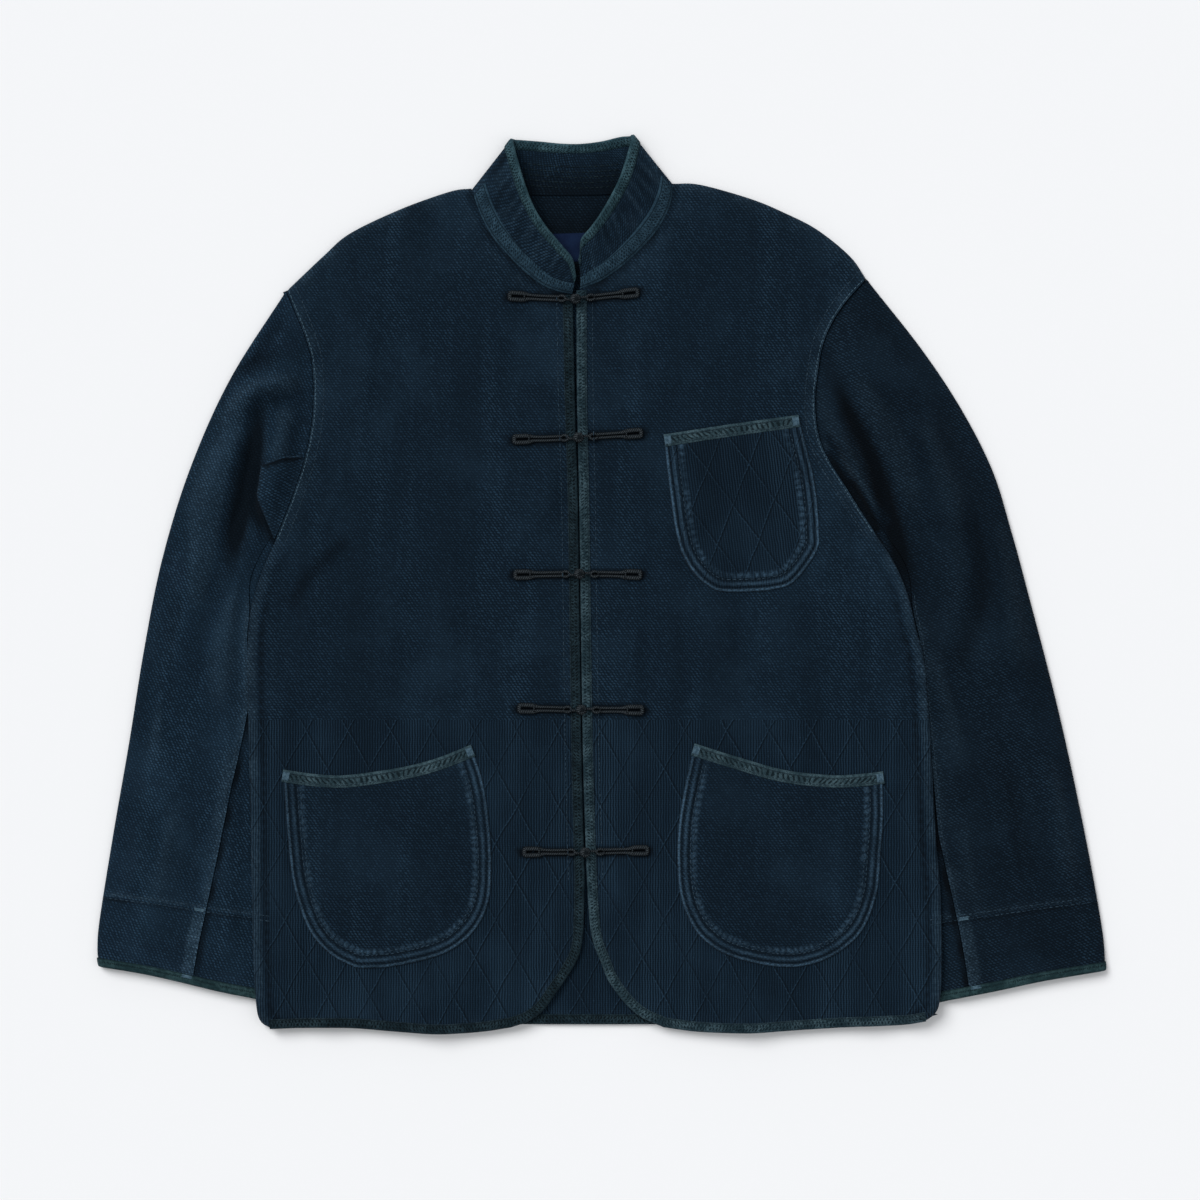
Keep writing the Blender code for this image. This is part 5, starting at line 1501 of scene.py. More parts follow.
def make_cord(name, plan, tree, thick, lift=0.0, nodes=(), flatness=1.0, sink=0.1):
    """A cord laid on what is under it, along a line in plan, as thick as is given or as given along it."""
    shares = np.linspace(0, 1, max(4, int(running(plan)[-1] / CORD_STEP)))
    line = read_at(plan, shares)
    thick = np.interp(shares, np.linspace(0, 1, np.size(thick)), np.atleast_1d(thick))
    heights = smoothed(np.array([height_over(tree, place) for place in line]))
    path = np.column_stack([line, heights + thick / 2 * flatness - sink + lift])
    # The third value, highest at the top of each section, carries the cord's painted highlight.
    sections, uv, wear = cord_sections(path, thick, flatness)
    tube(name, sections, uv, CORD_CLOTH, wear=wear, nodes=nodes, slot="cord")


# Where a strap starts out from its knot, and half its width from there to its end
STRAP_OUT = [KNOT_ROOM + 3.4, KNOT_ROOM + 10]
STRAP_HALVES = [1.3, 1.5, 1.5, 1.6, 2.3, 2.65, 2.7, 2.7]


def strap_plan(knot, ahead, length, seed):
    """The line and thickness of a frog strap: out along one side, round its square end and back."""
    across = left_of(ahead)
    wander = np.random.default_rng(seed).uniform(-0.3, 0.3, 8)
    block = length - BLOCK_LONG
    middle = (STRAP_OUT[1] + block) / 2
    runs = [*STRAP_OUT, middle, block - 3.5, block, block + 3, length - 3.2, length - 1.9]
    rows = list(zip(runs, STRAP_HALVES, wander))
    ups = [knot + ahead * run + across * (half + 0.4 * shift) for run, half, shift in rows]
    downs = [knot + ahead * run - across * (half - 0.4 * shift) for run, half, shift in rows]
    end = [knot + ahead * (length - 1.35) + across * part for part in (2.3, 0.8, -0.8, -2.3)]
    plan = fine_curve(ups + end + downs[::-1], 6)
    thick = CORD_THIN + (CORD_THICK - CORD_THIN) * smoothstep((plan - knot) @ ahead, block - 5, block + 1)
    shares = np.linspace(0, 1, STRAP_POINTS)
    return read_at(plan, shares), np.interp(shares, running(plan) / running(plan)[-1], thick)


def make_frogs(layers):
    """Five frogs: each a knot with a loop, and a doubled cord sewn down to both sides."""
    tree = tree_over(layers)
    for number, frog in enumerate(FROGS, start=1):
        knot = np.array(frog.knot)
        for hand, far in (("right", frog.right_end), ("left", frog.left_end)):
            length = np.linalg.norm(far - knot)
            ahead = (far - knot) / length
            node = f"frog_{number}_{hand}"

            def spot(out, sideways):
                return knot + ahead * out + left_of(ahead) * sideways

            plan, thick = strap_plan(knot, ahead, length, number * 2 + (hand == "left"))
            make_cord(f"{node}_cord", plan, tree, thick, nodes=(node,), flatness=CORD_FLATNESS)
            bar = np.array([spot(length - BLOCK_LONG + 0.4, part) for part in (-4.2, -2, 0, 2, 4.2)])
            make_cord(f"{node}_bar", bar, tree, 1.3, lift=2.5, sink=0.3)
            away = EYE_AWAY[hand]
            angles = np.linspace(0, 2 * math.pi, 15)
            eye = np.array([spot(away + 3.3 * math.cos(angle), 2.3 * math.sin(angle)) for angle in angles])
            make_cord(f"{node}_eye", eye, tree, 2.2, lift=1.9)
            make_cord(f"{node}_loop", np.array([spot(3, 0.9), spot(away - 2, 0.6)]), tree, 2.3, lift=1.8)
        make_knot(number, knot, tree)


KNOT_TURNS = 3
KNOT_POINTS = 96
KNOT_CORD = 2.5
KNOT_FLATNESS = np.array([1.06, 1.0, 0.86])
CORE_RINGS = 9
CORE_ROUND = 14
CORE_FLATNESS = np.array([1, 1, 0.85])


def make_knot(number, knot, tree):
    """A ball knot of cord: a core with three cord turns round it."""
    base = max(height_over(tree, knot + np.array([dx, dy])) for dx in (-3, 0, 3) for dy in (-3, 0, 3))
    centre = np.array([*knot, base + SEAM_GAP + KNOT_RADIUS * 0.82])
    t = np.linspace(0, 2 * math.pi * KNOT_TURNS, KNOT_POINTS, endpoint=False)
    tilt = t / KNOT_TURNS * 0.5
    direction = unit(np.stack([
        np.cos(t) * np.cos(tilt) - 0.25 * np.sin(t) * np.sin(tilt),
        np.cos(t) * np.sin(tilt) + 0.75 * np.sin(t) * np.cos(tilt),
        np.sin(t) * 0.72 + 0.2 * np.cos(2 * t),
    ], axis=1))
    path = centre + direction * (KNOT_RADIUS - 1.0) * KNOT_FLATNESS
    sections, uv, _ = cord_sections(closed(path), KNOT_CORD, taper=False)
    # Painted highlight: the knot's cord is paler the higher it lies.
    top_highlight = 0.4 + 0.7 * (sections[..., 2] - centre[2]) / KNOT_RADIUS
    tube(f"knot_{number}_cord", sections[:-1], uv[:-1], CORD_CLOTH, ring=True, wear=top_highlight[:-1],
         nodes=(f"knot_{number}",), slot="cord")
    down, around = np.meshgrid(
        math.pi * (np.arange(CORE_RINGS) + 0.5) / CORE_RINGS,
        np.linspace(0, 2 * math.pi, CORE_ROUND, endpoint=False), indexing="ij",
    )
    ball = np.stack([np.sin(down) * np.cos(around), np.sin(down) * np.sin(around), np.cos(down)], axis=-1)
    core = centre + ball * CORE_FLATNESS * (KNOT_RADIUS - 0.9)
    tube(f"knot_{number}_core", core, np.zeros((*core.shape[:2], 2)), CORD_CLOTH, slot="cord")


# Rows along a sleeve, and columns over its top piece, over its under piece and below its edges
SLEEVE_ROWS = 176
TOP_COLUMNS = 44
UNDER_COLUMNS = 22
BELOW_COLUMNS = 10

# How thick a sleeve is made under its outer face
SLEEVE_THIN = 1.3
SLEEVE_HALF = SLEEVE_EDGE_HEIGHT / 2

# How far the inner edge is tucked under the body below the armhole
TUCK = 4.5

BODY_EDGES = {}
for side in SIDES:
    body_edge = np.vstack([through(side.side, 6)[:-1], through(side.armhole, 6)])
    BODY_EDGES[side.name] = body_edge[np.argsort(body_edge[:, 1], kind="stable")]


def read_at_share(line, share):
    """Places on a line by the share of its segments, as nearest_on gives it."""
    place = np.clip(share, 0, 1) * (len(line) - 1)
    low = np.minimum(place.astype(int), len(line) - 2)
    part = (place - low)[..., None]
    return line[low] * (1 - part) + line[low + 1] * part


def spread(start, end, count):
    """Rows of turns evenly spread between two rows."""
    return [start + (end - start) * step for step in np.linspace(0, 1, count)]


class Sleeve:
    """A flattened sleeve: where its cloth lies, by the share along it and the turn round it.

    A turn is 0 at the inner edge and 1 at the outer one; the underside is below 0 and above 1.
    """

    def __init__(self, side, creases=()):
        self.side = side
        self.creases = creases
        self.armhole = beside(through(side.armhole, 5), side.sign * ARMHOLE_GAP)
        self.inner = through([self.armhole[0], *side.sleeve_inner[1:]], 4)
        up = self.inner[:, 1]
        self.inner[:, 0] -= side.sign * TUCK * smoothstep(up, 318, 350) * smoothstep(-up, -412, -398)
        self.outer = through([self.armhole[-1], *side.sleeve_outer[1:]], 4)
        self.cuff = through(side.cuff, 5)
        self.length = running(self.outer)[-1]

    def plan(self, along, across):
        """Places in plan, across from 0 at the inner edge to 1 at the outer one."""
        inner = read_at(self.inner, along**INNER_EASE)
        outer = read_at(self.outer, along**OUTER_EASE)
        spot = inner + (outer - inner) * across[..., None]
        for line, fade in ((self.armhole, (1 - along) ** ARMHOLE_FADE), (self.cuff, along**CUFF_FADE)):
            chord = line[0] + (line[-1] - line[0]) * across[..., None]
            spot = spot + (read_at(line, across) - chord) * fade[..., None]
        return spot

    def from_end(self, back):
        """The share along the sleeve at a length back from its end."""
        return 1 - back / self.length

    def width(self, along):
        ends = [self.plan(along, np.full_like(along, share)) for share in (0.0, 1.0)]
        return np.linalg.norm(ends[1] - ends[0], axis=-1)

    def ways_out(self, along, across, spot):
        """How far the nearer edge and the outer edge lie, and the direction out to the nearer one."""
        inner_gap, inner_share, _ = nearest_on(self.inner, spot)
        outer_gap, outer_share, _ = nearest_on(self.outer, spot)
        outer_nearer = outer_gap < inner_gap
        inner, outer = read_at_share(self.inner, inner_share), read_at_share(self.outer, outer_share)
        nearest = np.where(outer_nearer[..., None], outer, inner)
        before, after = (self.plan(np.clip(along + step, 0, 1), across) for step in (-0.02, 0.02))
        sideways = left_of(after - before) * (self.side.sign * np.where(across > 0.5, 1, -1))[..., None]
        at_edge = (across < 1e-9) | (across > 1 - 1e-9)
        way = unit(np.where(at_edge[..., None], sideways, nearest - spot))
        return np.where(at_edge, 0.0, np.minimum(inner_gap, outer_gap)), outer_gap, way

    def height(self, along, spot, outer_gap, lap):
        """How high the upper face stands over the floor of the sleeve, with its folds and creases."""
        beyond = self.side.sign * (spot[..., 0] - body_edge_at(self.side, spot[..., 1]))
        from_end = self.length * (1 - along)
        free = smoothstep(beyond, 4, 20)
        height = SLEEVE_EDGE_HEIGHT + (SLEEVE_MIDDLE_HEIGHT - SLEEVE_EDGE_HEIGHT) * free
        free = free * smoothstep(outer_gap, 4, 26) * smoothstep(from_end, 12, 46)
        calm = smoothstep(beyond, 1.5, 7) * smoothstep(outer_gap, 3, 16) * smoothstep(from_end, 8, 26)
        folds = folds_at(self.side.sleeve_folds, spot) + 2.4
        small = creases_at(self.creases, spot) + 0.4 * noise(spot, 50, 17)
        return np.maximum(height + free * folds + calm * small, SLEEVE_EDGE_HEIGHT - 0.6) + lap

    def points(self, along, turn, out=0.0, on=0.0, lap=0.0):
        """Points of the sleeve, this far out from its outer face and on past its end."""
        across = np.where(turn > 1, 2 - turn, np.abs(turn))
        under = (turn < 0) | (turn > 1)
        spot = self.plan(along, across)
        edge, outer_gap, way = self.ways_out(along, across, spot)
        height = self.height(along, spot, outer_gap, lap)
        floor = HEM_LIFT * smoothstep(along * self.length, self.length - 26, self.length - 9)
        reach = np.where(under, SLEEVE_HALF, np.maximum(4.0, 1.3 * height))
        lean = 1 - np.minimum(edge / reach, 1)
        rise = np.sqrt(1 - lean * lean)
        low = floor + SLEEVE_HALF * (1 - rise) - rise * out
        high = floor + SLEEVE_HALF + (height - SLEEVE_HALF) * rise + rise * out
        onwards = self.plan(np.ones_like(along), across) - self.plan(np.full_like(along, 0.97), across)
        onwards = onwards / np.linalg.norm(onwards, axis=-1, keepdims=True) * on
        spot = spot + way * (lean * out)[..., None] + onwards
        return np.concatenate([spot, np.where(under, low, high)[..., None]], axis=-1)

    def shares(self, along):
        """How far across the seams of the top and of the underside lie."""
        at, top, under = zip(*self.side.seam)
        return np.interp(along, at, top), np.interp(along, at, under)

    def top_turns(self, along):
        """The turns of the top piece, from the top seam out over the outer edge to the seam underneath."""
        width = self.width(along)
        top, under = self.shares(along)
        rows = spread(top + SEAM_GAP / width, 1 - 12 / width, TOP_COLUMNS)
        rows += [1 + room / width for room in (-9, -6.5, -4.6, -3, -1.7, -0.7, 0, 0.5, 1.1, 1.9)]
        rows += spread(1 + 3 / width, 2 - under - SEAM_GAP / width, BELOW_COLUMNS)
        return np.stack(rows, axis=-1)

    def under_turns(self, along):
        """The turns of the under piece, from the seam underneath round the inner edge to the top seam."""
        width = self.width(along)
        top, under = self.shares(along)
        rows = spread(-under + SEAM_GAP / width, -3 / width, BELOW_COLUMNS)
        rows += [room / width for room in (-1.9, -1.1, -0.5, 0, 0.7, 1.7, 3.2)]
        rows += spread(5 / width, top - SEAM_GAP / width, UNDER_COLUMNS)
        return np.stack(rows, axis=-1)


def body_edge_at(side, up):
    """How far across the body's side edge or armhole lies at these heights up the garment."""
    line = BODY_EDGES[side.name]
    return np.interp(up, line[:, 1], line[:, 0])


def sleeve_uv(sleeve, along, turn):
    """Texture places as they lie in plan, turned to the sleeve and carried on round its two edges."""
    spot = sleeve.plan(along, np.where(turn > 1, 2 - turn, np.abs(turn)))
    edge = sleeve.plan(along, np.where(turn > 0.5, 1.0, 0.0))
    axis = unit(sleeve.armhole.mean(axis=0) - sleeve.cuff.mean(axis=0))
    sideways = -left_of(axis)
    under = (turn > 1) | (turn < 0)
    over = np.where(under, 2 * (edge @ sideways) - spot @ sideways, spot @ sideways)
    return np.dstack([over, spot @ axis]) * MM


# The ridge of the fold that stands at the left armhole, painted paler, and the painted shade under it
FOLD_RIDGE = np.array([(187, 490), (204, 471), (221, 449), (237, 427)], float)
FOLD_SHADE = np.array([(189, 481), (204, 456), (220, 430), (232, 412)], float)

# How far back from a sleeve's end its two rows of cuff stitches run
CUFF_ROWS = (70.0, 74.5)


def sleeve_wear_and_shade(sleeve, top_piece, along, from_seam, plan):
    """Ends and seams paler from rubbing, paler ridges, a paler and a darker band by the cuff rows, and
    painted shade in the valleys, beside the seam on the under piece, under the fold at the left armhole and
    beside the gusset.
    """
    side = sleeve.side
    from_end = sleeve.length * (1 - along)
    low = smoothstep(along, 0.24, 0.4)
    wear = np.exp(-from_end / 7) * 0.5
    if top_piece:
        wear = wear + np.exp(-from_seam / 5) * 1.3 * low
        wear = wear + 0.9 * smoothstep(-from_end, -77, -73) * (1 - smoothstep(from_seam, 9, 12))
    else:
        # Painted shade beside the seam, where the top piece laps over the under piece.
        wear = wear - 1.2 * (1 - smoothstep(from_seam, 2.0, 6.0)) * low
    wear = wear + 0.8 * bell(from_end - 74, 2.4) - 0.8 * bell(from_end - 69.5, 2.2)
    wear = wear * (0.7 + 0.4 * noise(plan, 40, 2))
    # Painted shade beside the gusset's free edge.
    gap = gap_to(GUSSET_EDGES[side.name][-5:], plan)
    wear = wear - (1.0 if side is RIGHT else 1.3) * (1 - smoothstep(gap, 1.0, 7.0))
    if top_piece and side is LEFT:
        wear = wear + 0.55 * bell(gap_to(FOLD_RIDGE, plan), 3.2) - 0.9 * bell(gap_to(FOLD_SHADE, plan), 3.6)
    # Painted shade in the creases' valleys; their ridges are made a little paler.
    return np.clip(wear + np.clip(creases_at(sleeve.creases, plan) / 4.5, -1.0, 0.28), -1, 1.7)


def make_sleeve(side, creases):
    sleeve = Sleeve(side, creases)
    rows = np.linspace(0, 1, SLEEVE_ROWS) ** 1.15
    for name, turns in (("sleeve", sleeve.top_turns(rows)), ("undersleeve", sleeve.under_turns(rows))):
        top_piece = name == "sleeve"
        along = np.repeat(rows[:, None], turns.shape[1], axis=1)
        from_seam = np.abs(turns - sleeve.shares(rows)[0][:, None]) * sleeve.width(rows)[:, None]
        lap = 0.9 * (1 - smoothstep(from_seam, 1.0, 9.0)) * smoothstep(along, 0.12, 0.3) * top_piece
        outer, inner = (sleeve.points(along, turns, out, lap=lap) for out in (0, -SLEEVE_THIN))
        wear = sleeve_wear_and_shade(sleeve, top_piece, along, from_seam, outer[..., :2])
        shell(
            f"{name}_{side.name}_cloth", outer, inner, sleeve_uv(sleeve, along, turns),
            SLEEVE_CLOTHS[side.name], wear=wear, nodes=(f"{name}_{side.name}",),
        )
    make_cuff(sleeve)
    make_gusset(side)


# A cuff tape's section: how far back from the sleeve's end, out from its face and on past its end
CUFF_SECTION = [
    (8, 0.12, 0), (8, 0.9, 0), (6, 1.15, 0), (3, 1.2, 0), (0.8, 1.15, 0), (0, 0.85, 0.7), (0, 0.2, 1.15),
    (0, -0.9, 1.1), (0, -1.25, 0.9), (0, -1.25, 0.2), (0, 0.1, 0.2), (8, 0.1, 0),
]


def make_cuff(sleeve):
    """Tape folded over the end of a sleeve, all the way round it."""
    end = np.array([1.0])
    turns = np.concatenate([sleeve.under_turns(end)[0], sleeve.top_turns(end)[0][:-1]])
    turns = np.unique(np.round(turns, 6))
    rows = [
        sleeve.points(np.full_like(turns, sleeve.from_end(back)), turns, out, on)
        for back, out, on in CUFF_SECTION
    ]
    grid = np.stack(rows, axis=1)
    middle = grid[:, 0]
    name = f"cuff_binding_{sleeve.side.name}"
    tube(
        f"{name}_tape", grid, grid_uv(running(middle), running(grid[len(grid) // 2])), CUFF_TAPE, ring=True,
        wear=uneven(middle, 0.45, 30, 6)[:, None], cloth=True, nodes=(name,), slot="tape",
    )


GUSSET_FINE = 3.6
GUSSET_RINGS = (0.8, 1.8, 3.0)
GUSSET_GRAIN = np.array([0.93, 0.37])
GUSSET_UP = {"right": 74, "left": 44}
GUSSET_EDGES = {
    "right": np.array([
        (-250, 481), (-264, 480), (-279, 474.8), (-283, 473), (-284, 466), (-286.6, 450), (-286, 445),
        (-281, 433), (-273, 413),
    ]),
    "left": np.array([(208, 457), (214, 448), (222, 434), (229, 421)], float),
}


def make_gusset(side):
    """The gusset set in under the arm, lying over the top of the sleeve."""
    cloths = tree_over([made[f"sleeve_{side.name}_cloth"], made[f"undersleeve_{side.name}_cloth"]])
    foot = through(side.armhole, 3)
    foot = beside(foot[running(foot) <= GUSSET_UP[side.name]], side.sign * 1.2)
    corners = GUSSET_EDGES[side.name]
    free = read_at(corners, np.linspace(0, 1, int(running(corners)[-1] / 2.5)))

    def tops(plan, depth):
        base = np.array([height_over(cloths, place, SLEEVE_EDGE_HEIGHT) for place in plan])
        rise = 0.9 + 2.3 * rounded(depth / 2.6) + 0.8 * smoothstep(depth, 1, 9)
        return base + rise * (0.45 if side is LEFT else 1.0) * smoothstep(gap_to(foot, plan), -1, 8)

    def worn_and_shaded(plan, depth):
        # Painted shade: the left gusset is darkened all over. The right one is paler at its edges, with a
        # dark line by its top seam.
        if side is LEFT:
            return np.full(len(plan), -0.95)
        seam = np.abs(gap_to(corners[:3], plan) - 2.4)
        return edge_wear(plan, depth, 1.4) * 0.5 - 1.2 * (1 - smoothstep(seam, 0.4, 1.4))

    flat_shell(
        f"gusset_{side.name}_cloth", np.vstack([foot, free]), GUSSET_FINE, tops,
        lambda plan, top: top - THIN, SLEEVE_CLOTHS[side.name], nodes=(f"gusset_{side.name}",),
        rings=GUSSET_RINGS, wear_and_shading_at=worn_and_shaded,
        uv_at=lambda plan: np.column_stack([plan @ GUSSET_GRAIN, plan @ left_of(GUSSET_GRAIN)]) * MM,
    )


# A stitch: its points round, how thick it is by its share along it, and how deep it lies in the cloth
STITCH_ROUND = 6
STITCH_PROFILE = [(-0.5, 0.25), (-0.36, 0.85), (0, 1.0), (0.36, 0.85), (0.5, 0.25)]
STITCH_SINK = 0.1

# Stitches shorter than this or steeper than this are left out
LEAST_STITCH = 0.5
STEEPEST_STITCH = 1.6

# How far in from a front's edge the row on its binding runs, and from a pocket's tape the pocket's rows stay
BOUND_ROOM = BINDING_REACH + 6.9
TAPE_ROOM = 9.5


def stitch_points(ends, heights, top, across, thick):
    """The rings of points of one stitch between two ends, over the height at its middle."""
    middle = np.array([*(ends[0] + ends[1]) / 2, max(sum(heights) / 2, top)])
    axis = np.array([*(ends[1] - ends[0]), heights[1] - heights[0]])
    points = []
    for share, swell in STITCH_PROFILE:
        centre = middle + axis * share + [0, 0, thick / 2 * swell - STITCH_SINK]
        for angle in np.linspace(0, 2 * math.pi, STITCH_ROUND, endpoint=False):
            offset = np.array([*(across * math.cos(angle)), math.sin(angle) * 0.8])
            points.append(centre + offset * thick / 2 * swell)
    return points


def stitch_faces(start):
    rings = start + np.arange(len(STITCH_PROFILE) * STITCH_ROUND).reshape(-1, STITCH_ROUND)
    turned = np.roll(rings, -1, axis=1)
    quads = np.stack([rings[:-1], turned[:-1], turned[1:], rings[1:]], axis=-1).reshape(-1, 4)
    return quads.tolist() + [rings[0][::-1].tolist(), rings[-1].tolist()]


def stitch(name, lines, tree, length, gap, thick, material, slot="sashiko", jitter=0.35, seed=1):
    """Rows of short thread stitches along lines in plan, each laid on what is under it."""
    random = np.random.default_rng(seed)
    points, faces = [], []
    for line in lines:
        total = running(line)[-1]
        at = gap
        while at + length < total:
            long = length * random.uniform(1 - jitter, 1 + jitter)
            ends = read_at(line, [at / total, min(1, (at + long) / total)])
            at += long + gap * random.uniform(0.75, 1.25)
            sideways = random.uniform(-0.12, 0.12)
            size = np.linalg.norm(ends[1] - ends[0])
            if size < LEAST_STITCH:
                continue
            across = left_of((ends[1] - ends[0]) / size)
            ends = ends + across * sideways
            heights = [height_over(tree, end, -1) for end in ends]
            if min(heights) < 0 or abs(heights[1] - heights[0]) > STEEPEST_STITCH:
                continue
            top = height_over(tree, (ends[0] + ends[1]) / 2)
            faces += stitch_faces(len(points))
            points += stitch_points(ends, heights, top, across, thick)
    if points:
        points = np.array(points)
        turn_outwards(put(name, points, faces, points[:, :2] * MM, material, slot=slot))


def part_of(loop, keep):
    """The longest run of a closed loop whose points pass a test."""
    good = keep(loop)
    if good.all():
        return closed(loop)
    best, run = [], []
    for index in np.roll(np.arange(len(loop)), -int(np.argmax(~good))):
        run = [*run, index] if good[index] else []
        best = run if len(run) > len(best) else best
    return loop[best]


def inset_row(loop, room, top_line):
    """A row of stitches inside a pocket's edge, which stops below its tape."""
    if closed_area(loop) < 0:
        loop = loop[::-1]
    loop = read_at(closed(loop), np.linspace(0, 1, int(running(loop)[-1] / 3)))[:-1]
    return part_of(moved_in(loop, room), lambda places: gap_to(top_line, places) > TAPE_ROOM)


def tack_lines(pocket, top_line):
    """Short bars across the two ends of a pocket's tape."""
    lines = []
    for end in (top_line[:2], top_line[:-3:-1]):
        along = unit(end[1] - end[0])
        across = left_of(along)
        if across @ (np.array(pocket.rest).mean(axis=0) - end[0]) < 0:
            across = -across
        for step in np.arange(0.6, 5.4, 0.8):
            start = end[0] + along * step - across * 0.4
            lines.append(np.array([start, start + across * 4.2, start + across * 8.6]))
    return lines


def stitch_pocket(pocket, tree):
    loop, top_line, hand = pocket_lines(pocket)
    rooms = (2.2, 10.5) if pocket.name == "pocket_chest" else (2.2, 11.0, 13.5)
    rows = [inset_row(loop, room, top_line) for room in rooms]
    stitch(f"{pocket.name}_stitches", rows, tree, 3.0, 1.5, 0.7, THREAD, seed=3)
    rows = [beside(top_line, hand * room) for room in (1.4, 6.9)]
    stitch(f"{pocket.name}_tape_stitches", rows, tree, 2.0, 1.1, 0.6, THREAD_DARK, slot="tape", seed=4)
    bars = tack_lines(pocket, top_line)
    stitch(f"{pocket.name}_tacks", bars, tree, 7.6, 0.2, 0.9, THREAD_PALE, slot="tape", jitter=0.06, seed=5)


def stitch_side(side, tree):
    """The rows along a front's binding and centre, round an armhole, and on a sleeve's seam and cuff."""
    bound, centre, armhole = front_run(side), through(side.centre, 3), through(side.armhole, 3)
    for name, line, room, length, gap, thick, thread, slot, seed in (
        (f"front_binding_{side.name}_stitches", bound, BOUND_ROOM, 2.2, 1.1, 0.6, THREAD_DARK, "tape", 6),
        (f"front_{side.name}_topstitch", centre, 13.5, 3.0, 1.4, 0.65, THREAD, "sashiko", 7),
        (f"armhole_{side.name}_stitches", armhole, 1.6, 2.6, 0.9, 0.7, THREAD_PALE, "sashiko", 8),
        (f"armhole_{side.name}_felling", armhole, 8.5, 2.6, 1.3, 0.7, THREAD, "sashiko", 8),
    ):
        row = beside(line, -side.sign * room)
        stitch(name, [row], tree, length, gap, thick, thread, slot=slot, seed=seed)
    sleeve = Sleeve(side)
    across = np.linspace(0.03, 0.97, 60)
    rows = [sleeve.plan(np.full_like(across, sleeve.from_end(back)), across) for back in CUFF_ROWS]
    stitch(f"cuff_{side.name}_stitches", rows, tree, 3.0, 1.6, 0.65, THREAD, seed=9)

    def past_seam(along, room):
        return sleeve.plan(along, sleeve.shares(along)[0] + room / sleeve.width(along))

    bars = []
    for back in (71, 6):
        along = np.array([sleeve.from_end(back)])
        near, far = past_seam(along, 1.0), past_seam(along, 11.0)
        bar = np.vstack([near, (near + far) / 2, far])
        bars += [bar + np.array([0, up]) for up in (-0.9, 0, 0.9)]
    stitch(f"cuff_{side.name}_tacks", bars, tree, 9.0, 0.2, 1.0, THREAD_PALE, jitter=0.04, seed=12)
    seam = past_seam(np.linspace(0.3, 0.98, 80), 3.0)
    stitch(f"sleeve_seam_{side.name}_stitches", [seam], tree, 2.8, 1.3, 0.65, THREAD, seed=10)


def make_stitches():
    tree = tree_over(list(made.values()))
    rows = [
        fine_curve([(-66, up + 2.5), (-40, up), (-14, up - 0.6), (8, up + 0.8), (16, up + 1.6)], 6)
        for up in (722, 717.6, 713.2, 708.8, 704.4)
    ]
    stitch("collar_rows", rows, tree, 3.4, 1.2, 0.8, COLLAR_THREAD, seed=2)
    for pocket in POCKETS:
        stitch_pocket(pocket, tree)
    for side in SIDES:
        stitch_side(side, tree)


# The least width of a cut, in metres, and a share that keeps an area just inside its rectangle
LEAST_CUT = 0.01
SNUG = 0.9999


def rests_on(name):
    """The pieces that a piece of cloth or tape lies on."""
    if name.startswith("pocket_"):
        return ["front_right_cloth" if name.startswith("pocket_right") else "front_left_cloth"]
    if name.startswith("gusset_"):
        return [name.replace("gusset", "sleeve")]
    if name == "back_cloth":
        return ["undersleeve_right_cloth", "undersleeve_left_cloth"]
    return ["back_cloth"] if name in ("front_right_cloth", "front_left_cloth", "label_cloth") else []


def declare_sheets():
    """Works out for every piece of cloth and tape the size of its cut and what it rests on, and uses none of
    it.
    """
    for name, (width, length, area) in cuts.items():
        max(width, LEAST_CUT)
        max(length, LEAST_CUT)
        area * SNUG
        rests_on(name)


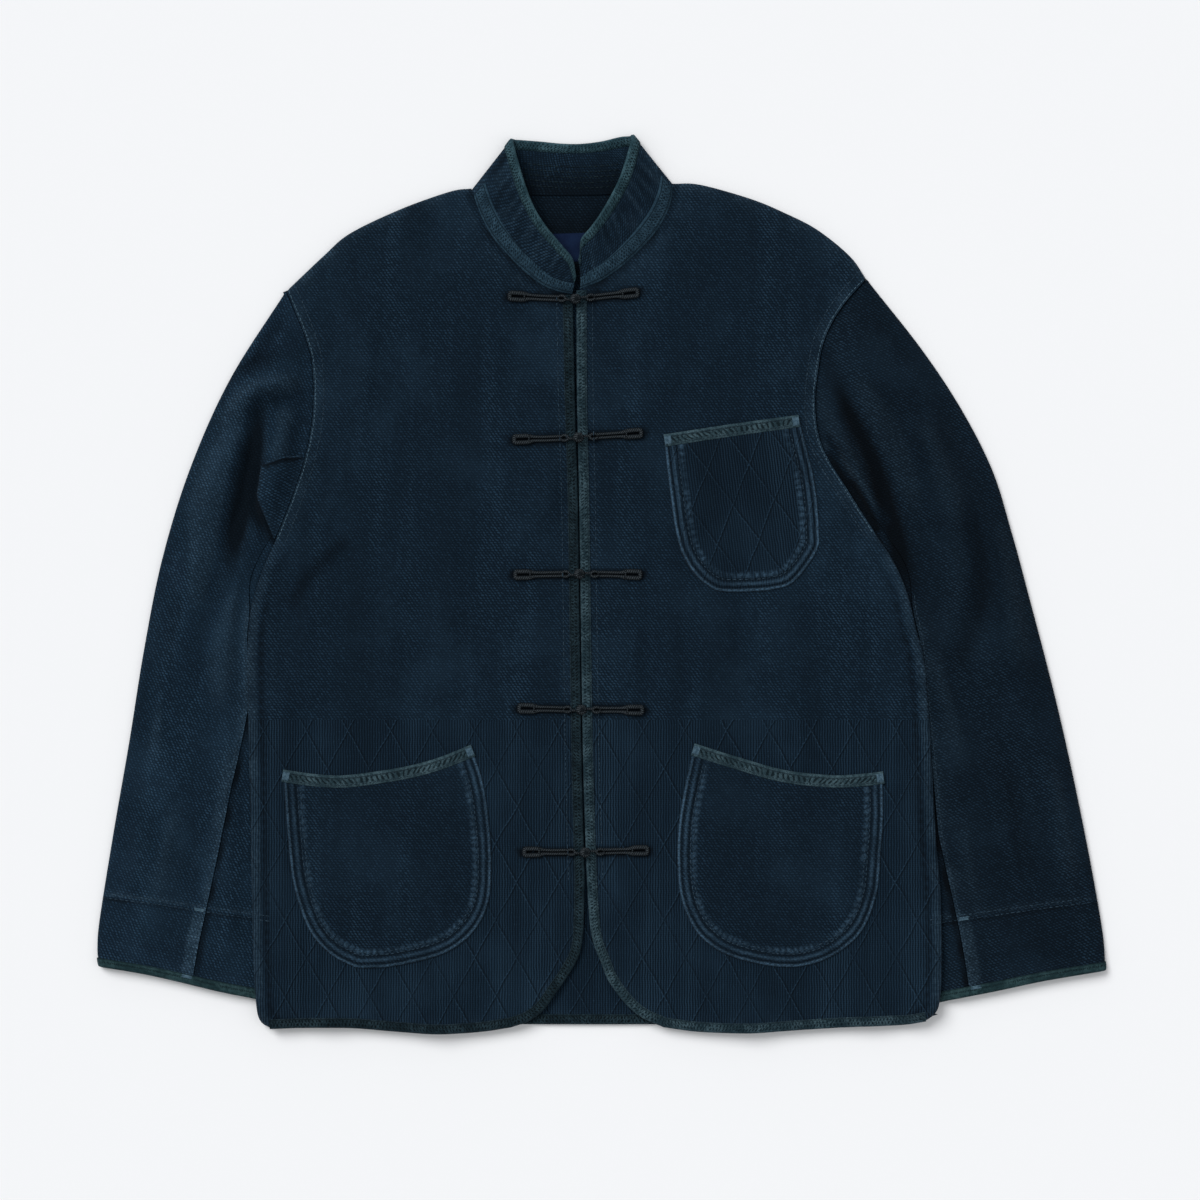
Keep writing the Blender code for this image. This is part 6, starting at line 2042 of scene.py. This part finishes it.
make_back()
make_label()
for side in SIDES:
    make_front(side)
for pocket in POCKETS:
    make_pocket(pocket)
for side in SIDES:
    make_sleeve(side, SLEEVE_CREASES[side.name])
for side in SIDES:
    make_allowance(side)
make_collar()
make_frogs([made[name] for name in (
    "front_right_cloth", "front_left_cloth", "front_binding_right_tape", "front_binding_left_tape",
    "collar_cloth", "collar_tape", "neck_tape_right_cloth", "neck_tape_left_cloth",
)])
make_stitches()
declare_sheets()


FLOOR_REACH = 12.0
FLOOR_DROP = -0.0004
FLOOR_COLOUR = (0.848, 0.855, 0.868, 1)
SKY_COLOUR = (0.97, 0.985, 1.0, 1)
SKY_STRENGTH = 0.5
CAMERA_PLACE = (-0.00125, -0.0131, 3.0)
CAMERA_LENS = 108

# Each light: its name, where it comes from, its angular size in degrees and its strength
LIGHTS = [("key", (-1.5, 1.7, 2.2), 35, 2.35), ("fill", (1.6, -0.6, 2.6), 60, 0.25)]


def placed(name, data, place):
    piece = bpy.data.objects.new(name, data)
    piece.location = place
    bpy.context.scene.collection.objects.link(piece)
    return piece


def make_stage():
    """A pale floor, soft light from the upper left and a camera straight above."""
    floor = bpy.data.meshes.new("floor")
    corners = [(x * FLOOR_REACH, y * FLOOR_REACH, 0) for x, y in ((-1, -1), (1, -1), (1, 1), (-1, 1))]
    floor.from_pydata(corners, [], [(0, 1, 2, 3)])
    material = bpy.data.materials.new("pale_floor")
    material.use_nodes = True
    shader = material.node_tree.nodes["Principled BSDF"]
    shader.inputs["Base Color"].default_value = FLOOR_COLOUR
    shader.inputs["Roughness"].default_value = 0.9
    shader.inputs["Specular IOR Level"].default_value = 0.1
    floor.materials.append(material)
    placed("floor", floor, (0, 0, FLOOR_DROP))

    world = bpy.data.worlds.new("studio")
    world.use_nodes = True
    background = world.node_tree.nodes["Background"]
    background.inputs["Color"].default_value = SKY_COLOUR
    background.inputs["Strength"].default_value = SKY_STRENGTH
    bpy.context.scene.world = world
    for name, place, size, strength in LIGHTS:
        data = bpy.data.lights.new(name, "SUN")
        data.angle = math.radians(size)
        data.energy = strength
        lamp = placed(name, data, place)
        lamp.rotation_euler = (-Vector(place)).to_track_quat("-Z", "Y").to_euler()
    data = bpy.data.cameras.new("overhead")
    data.lens = CAMERA_LENS
    data.sensor_width = 36
    data.clip_end = 20
    bpy.context.scene.camera = placed("overhead", data, CAMERA_PLACE)
    bpy.context.scene.view_settings.view_transform = "Standard"


make_stage()
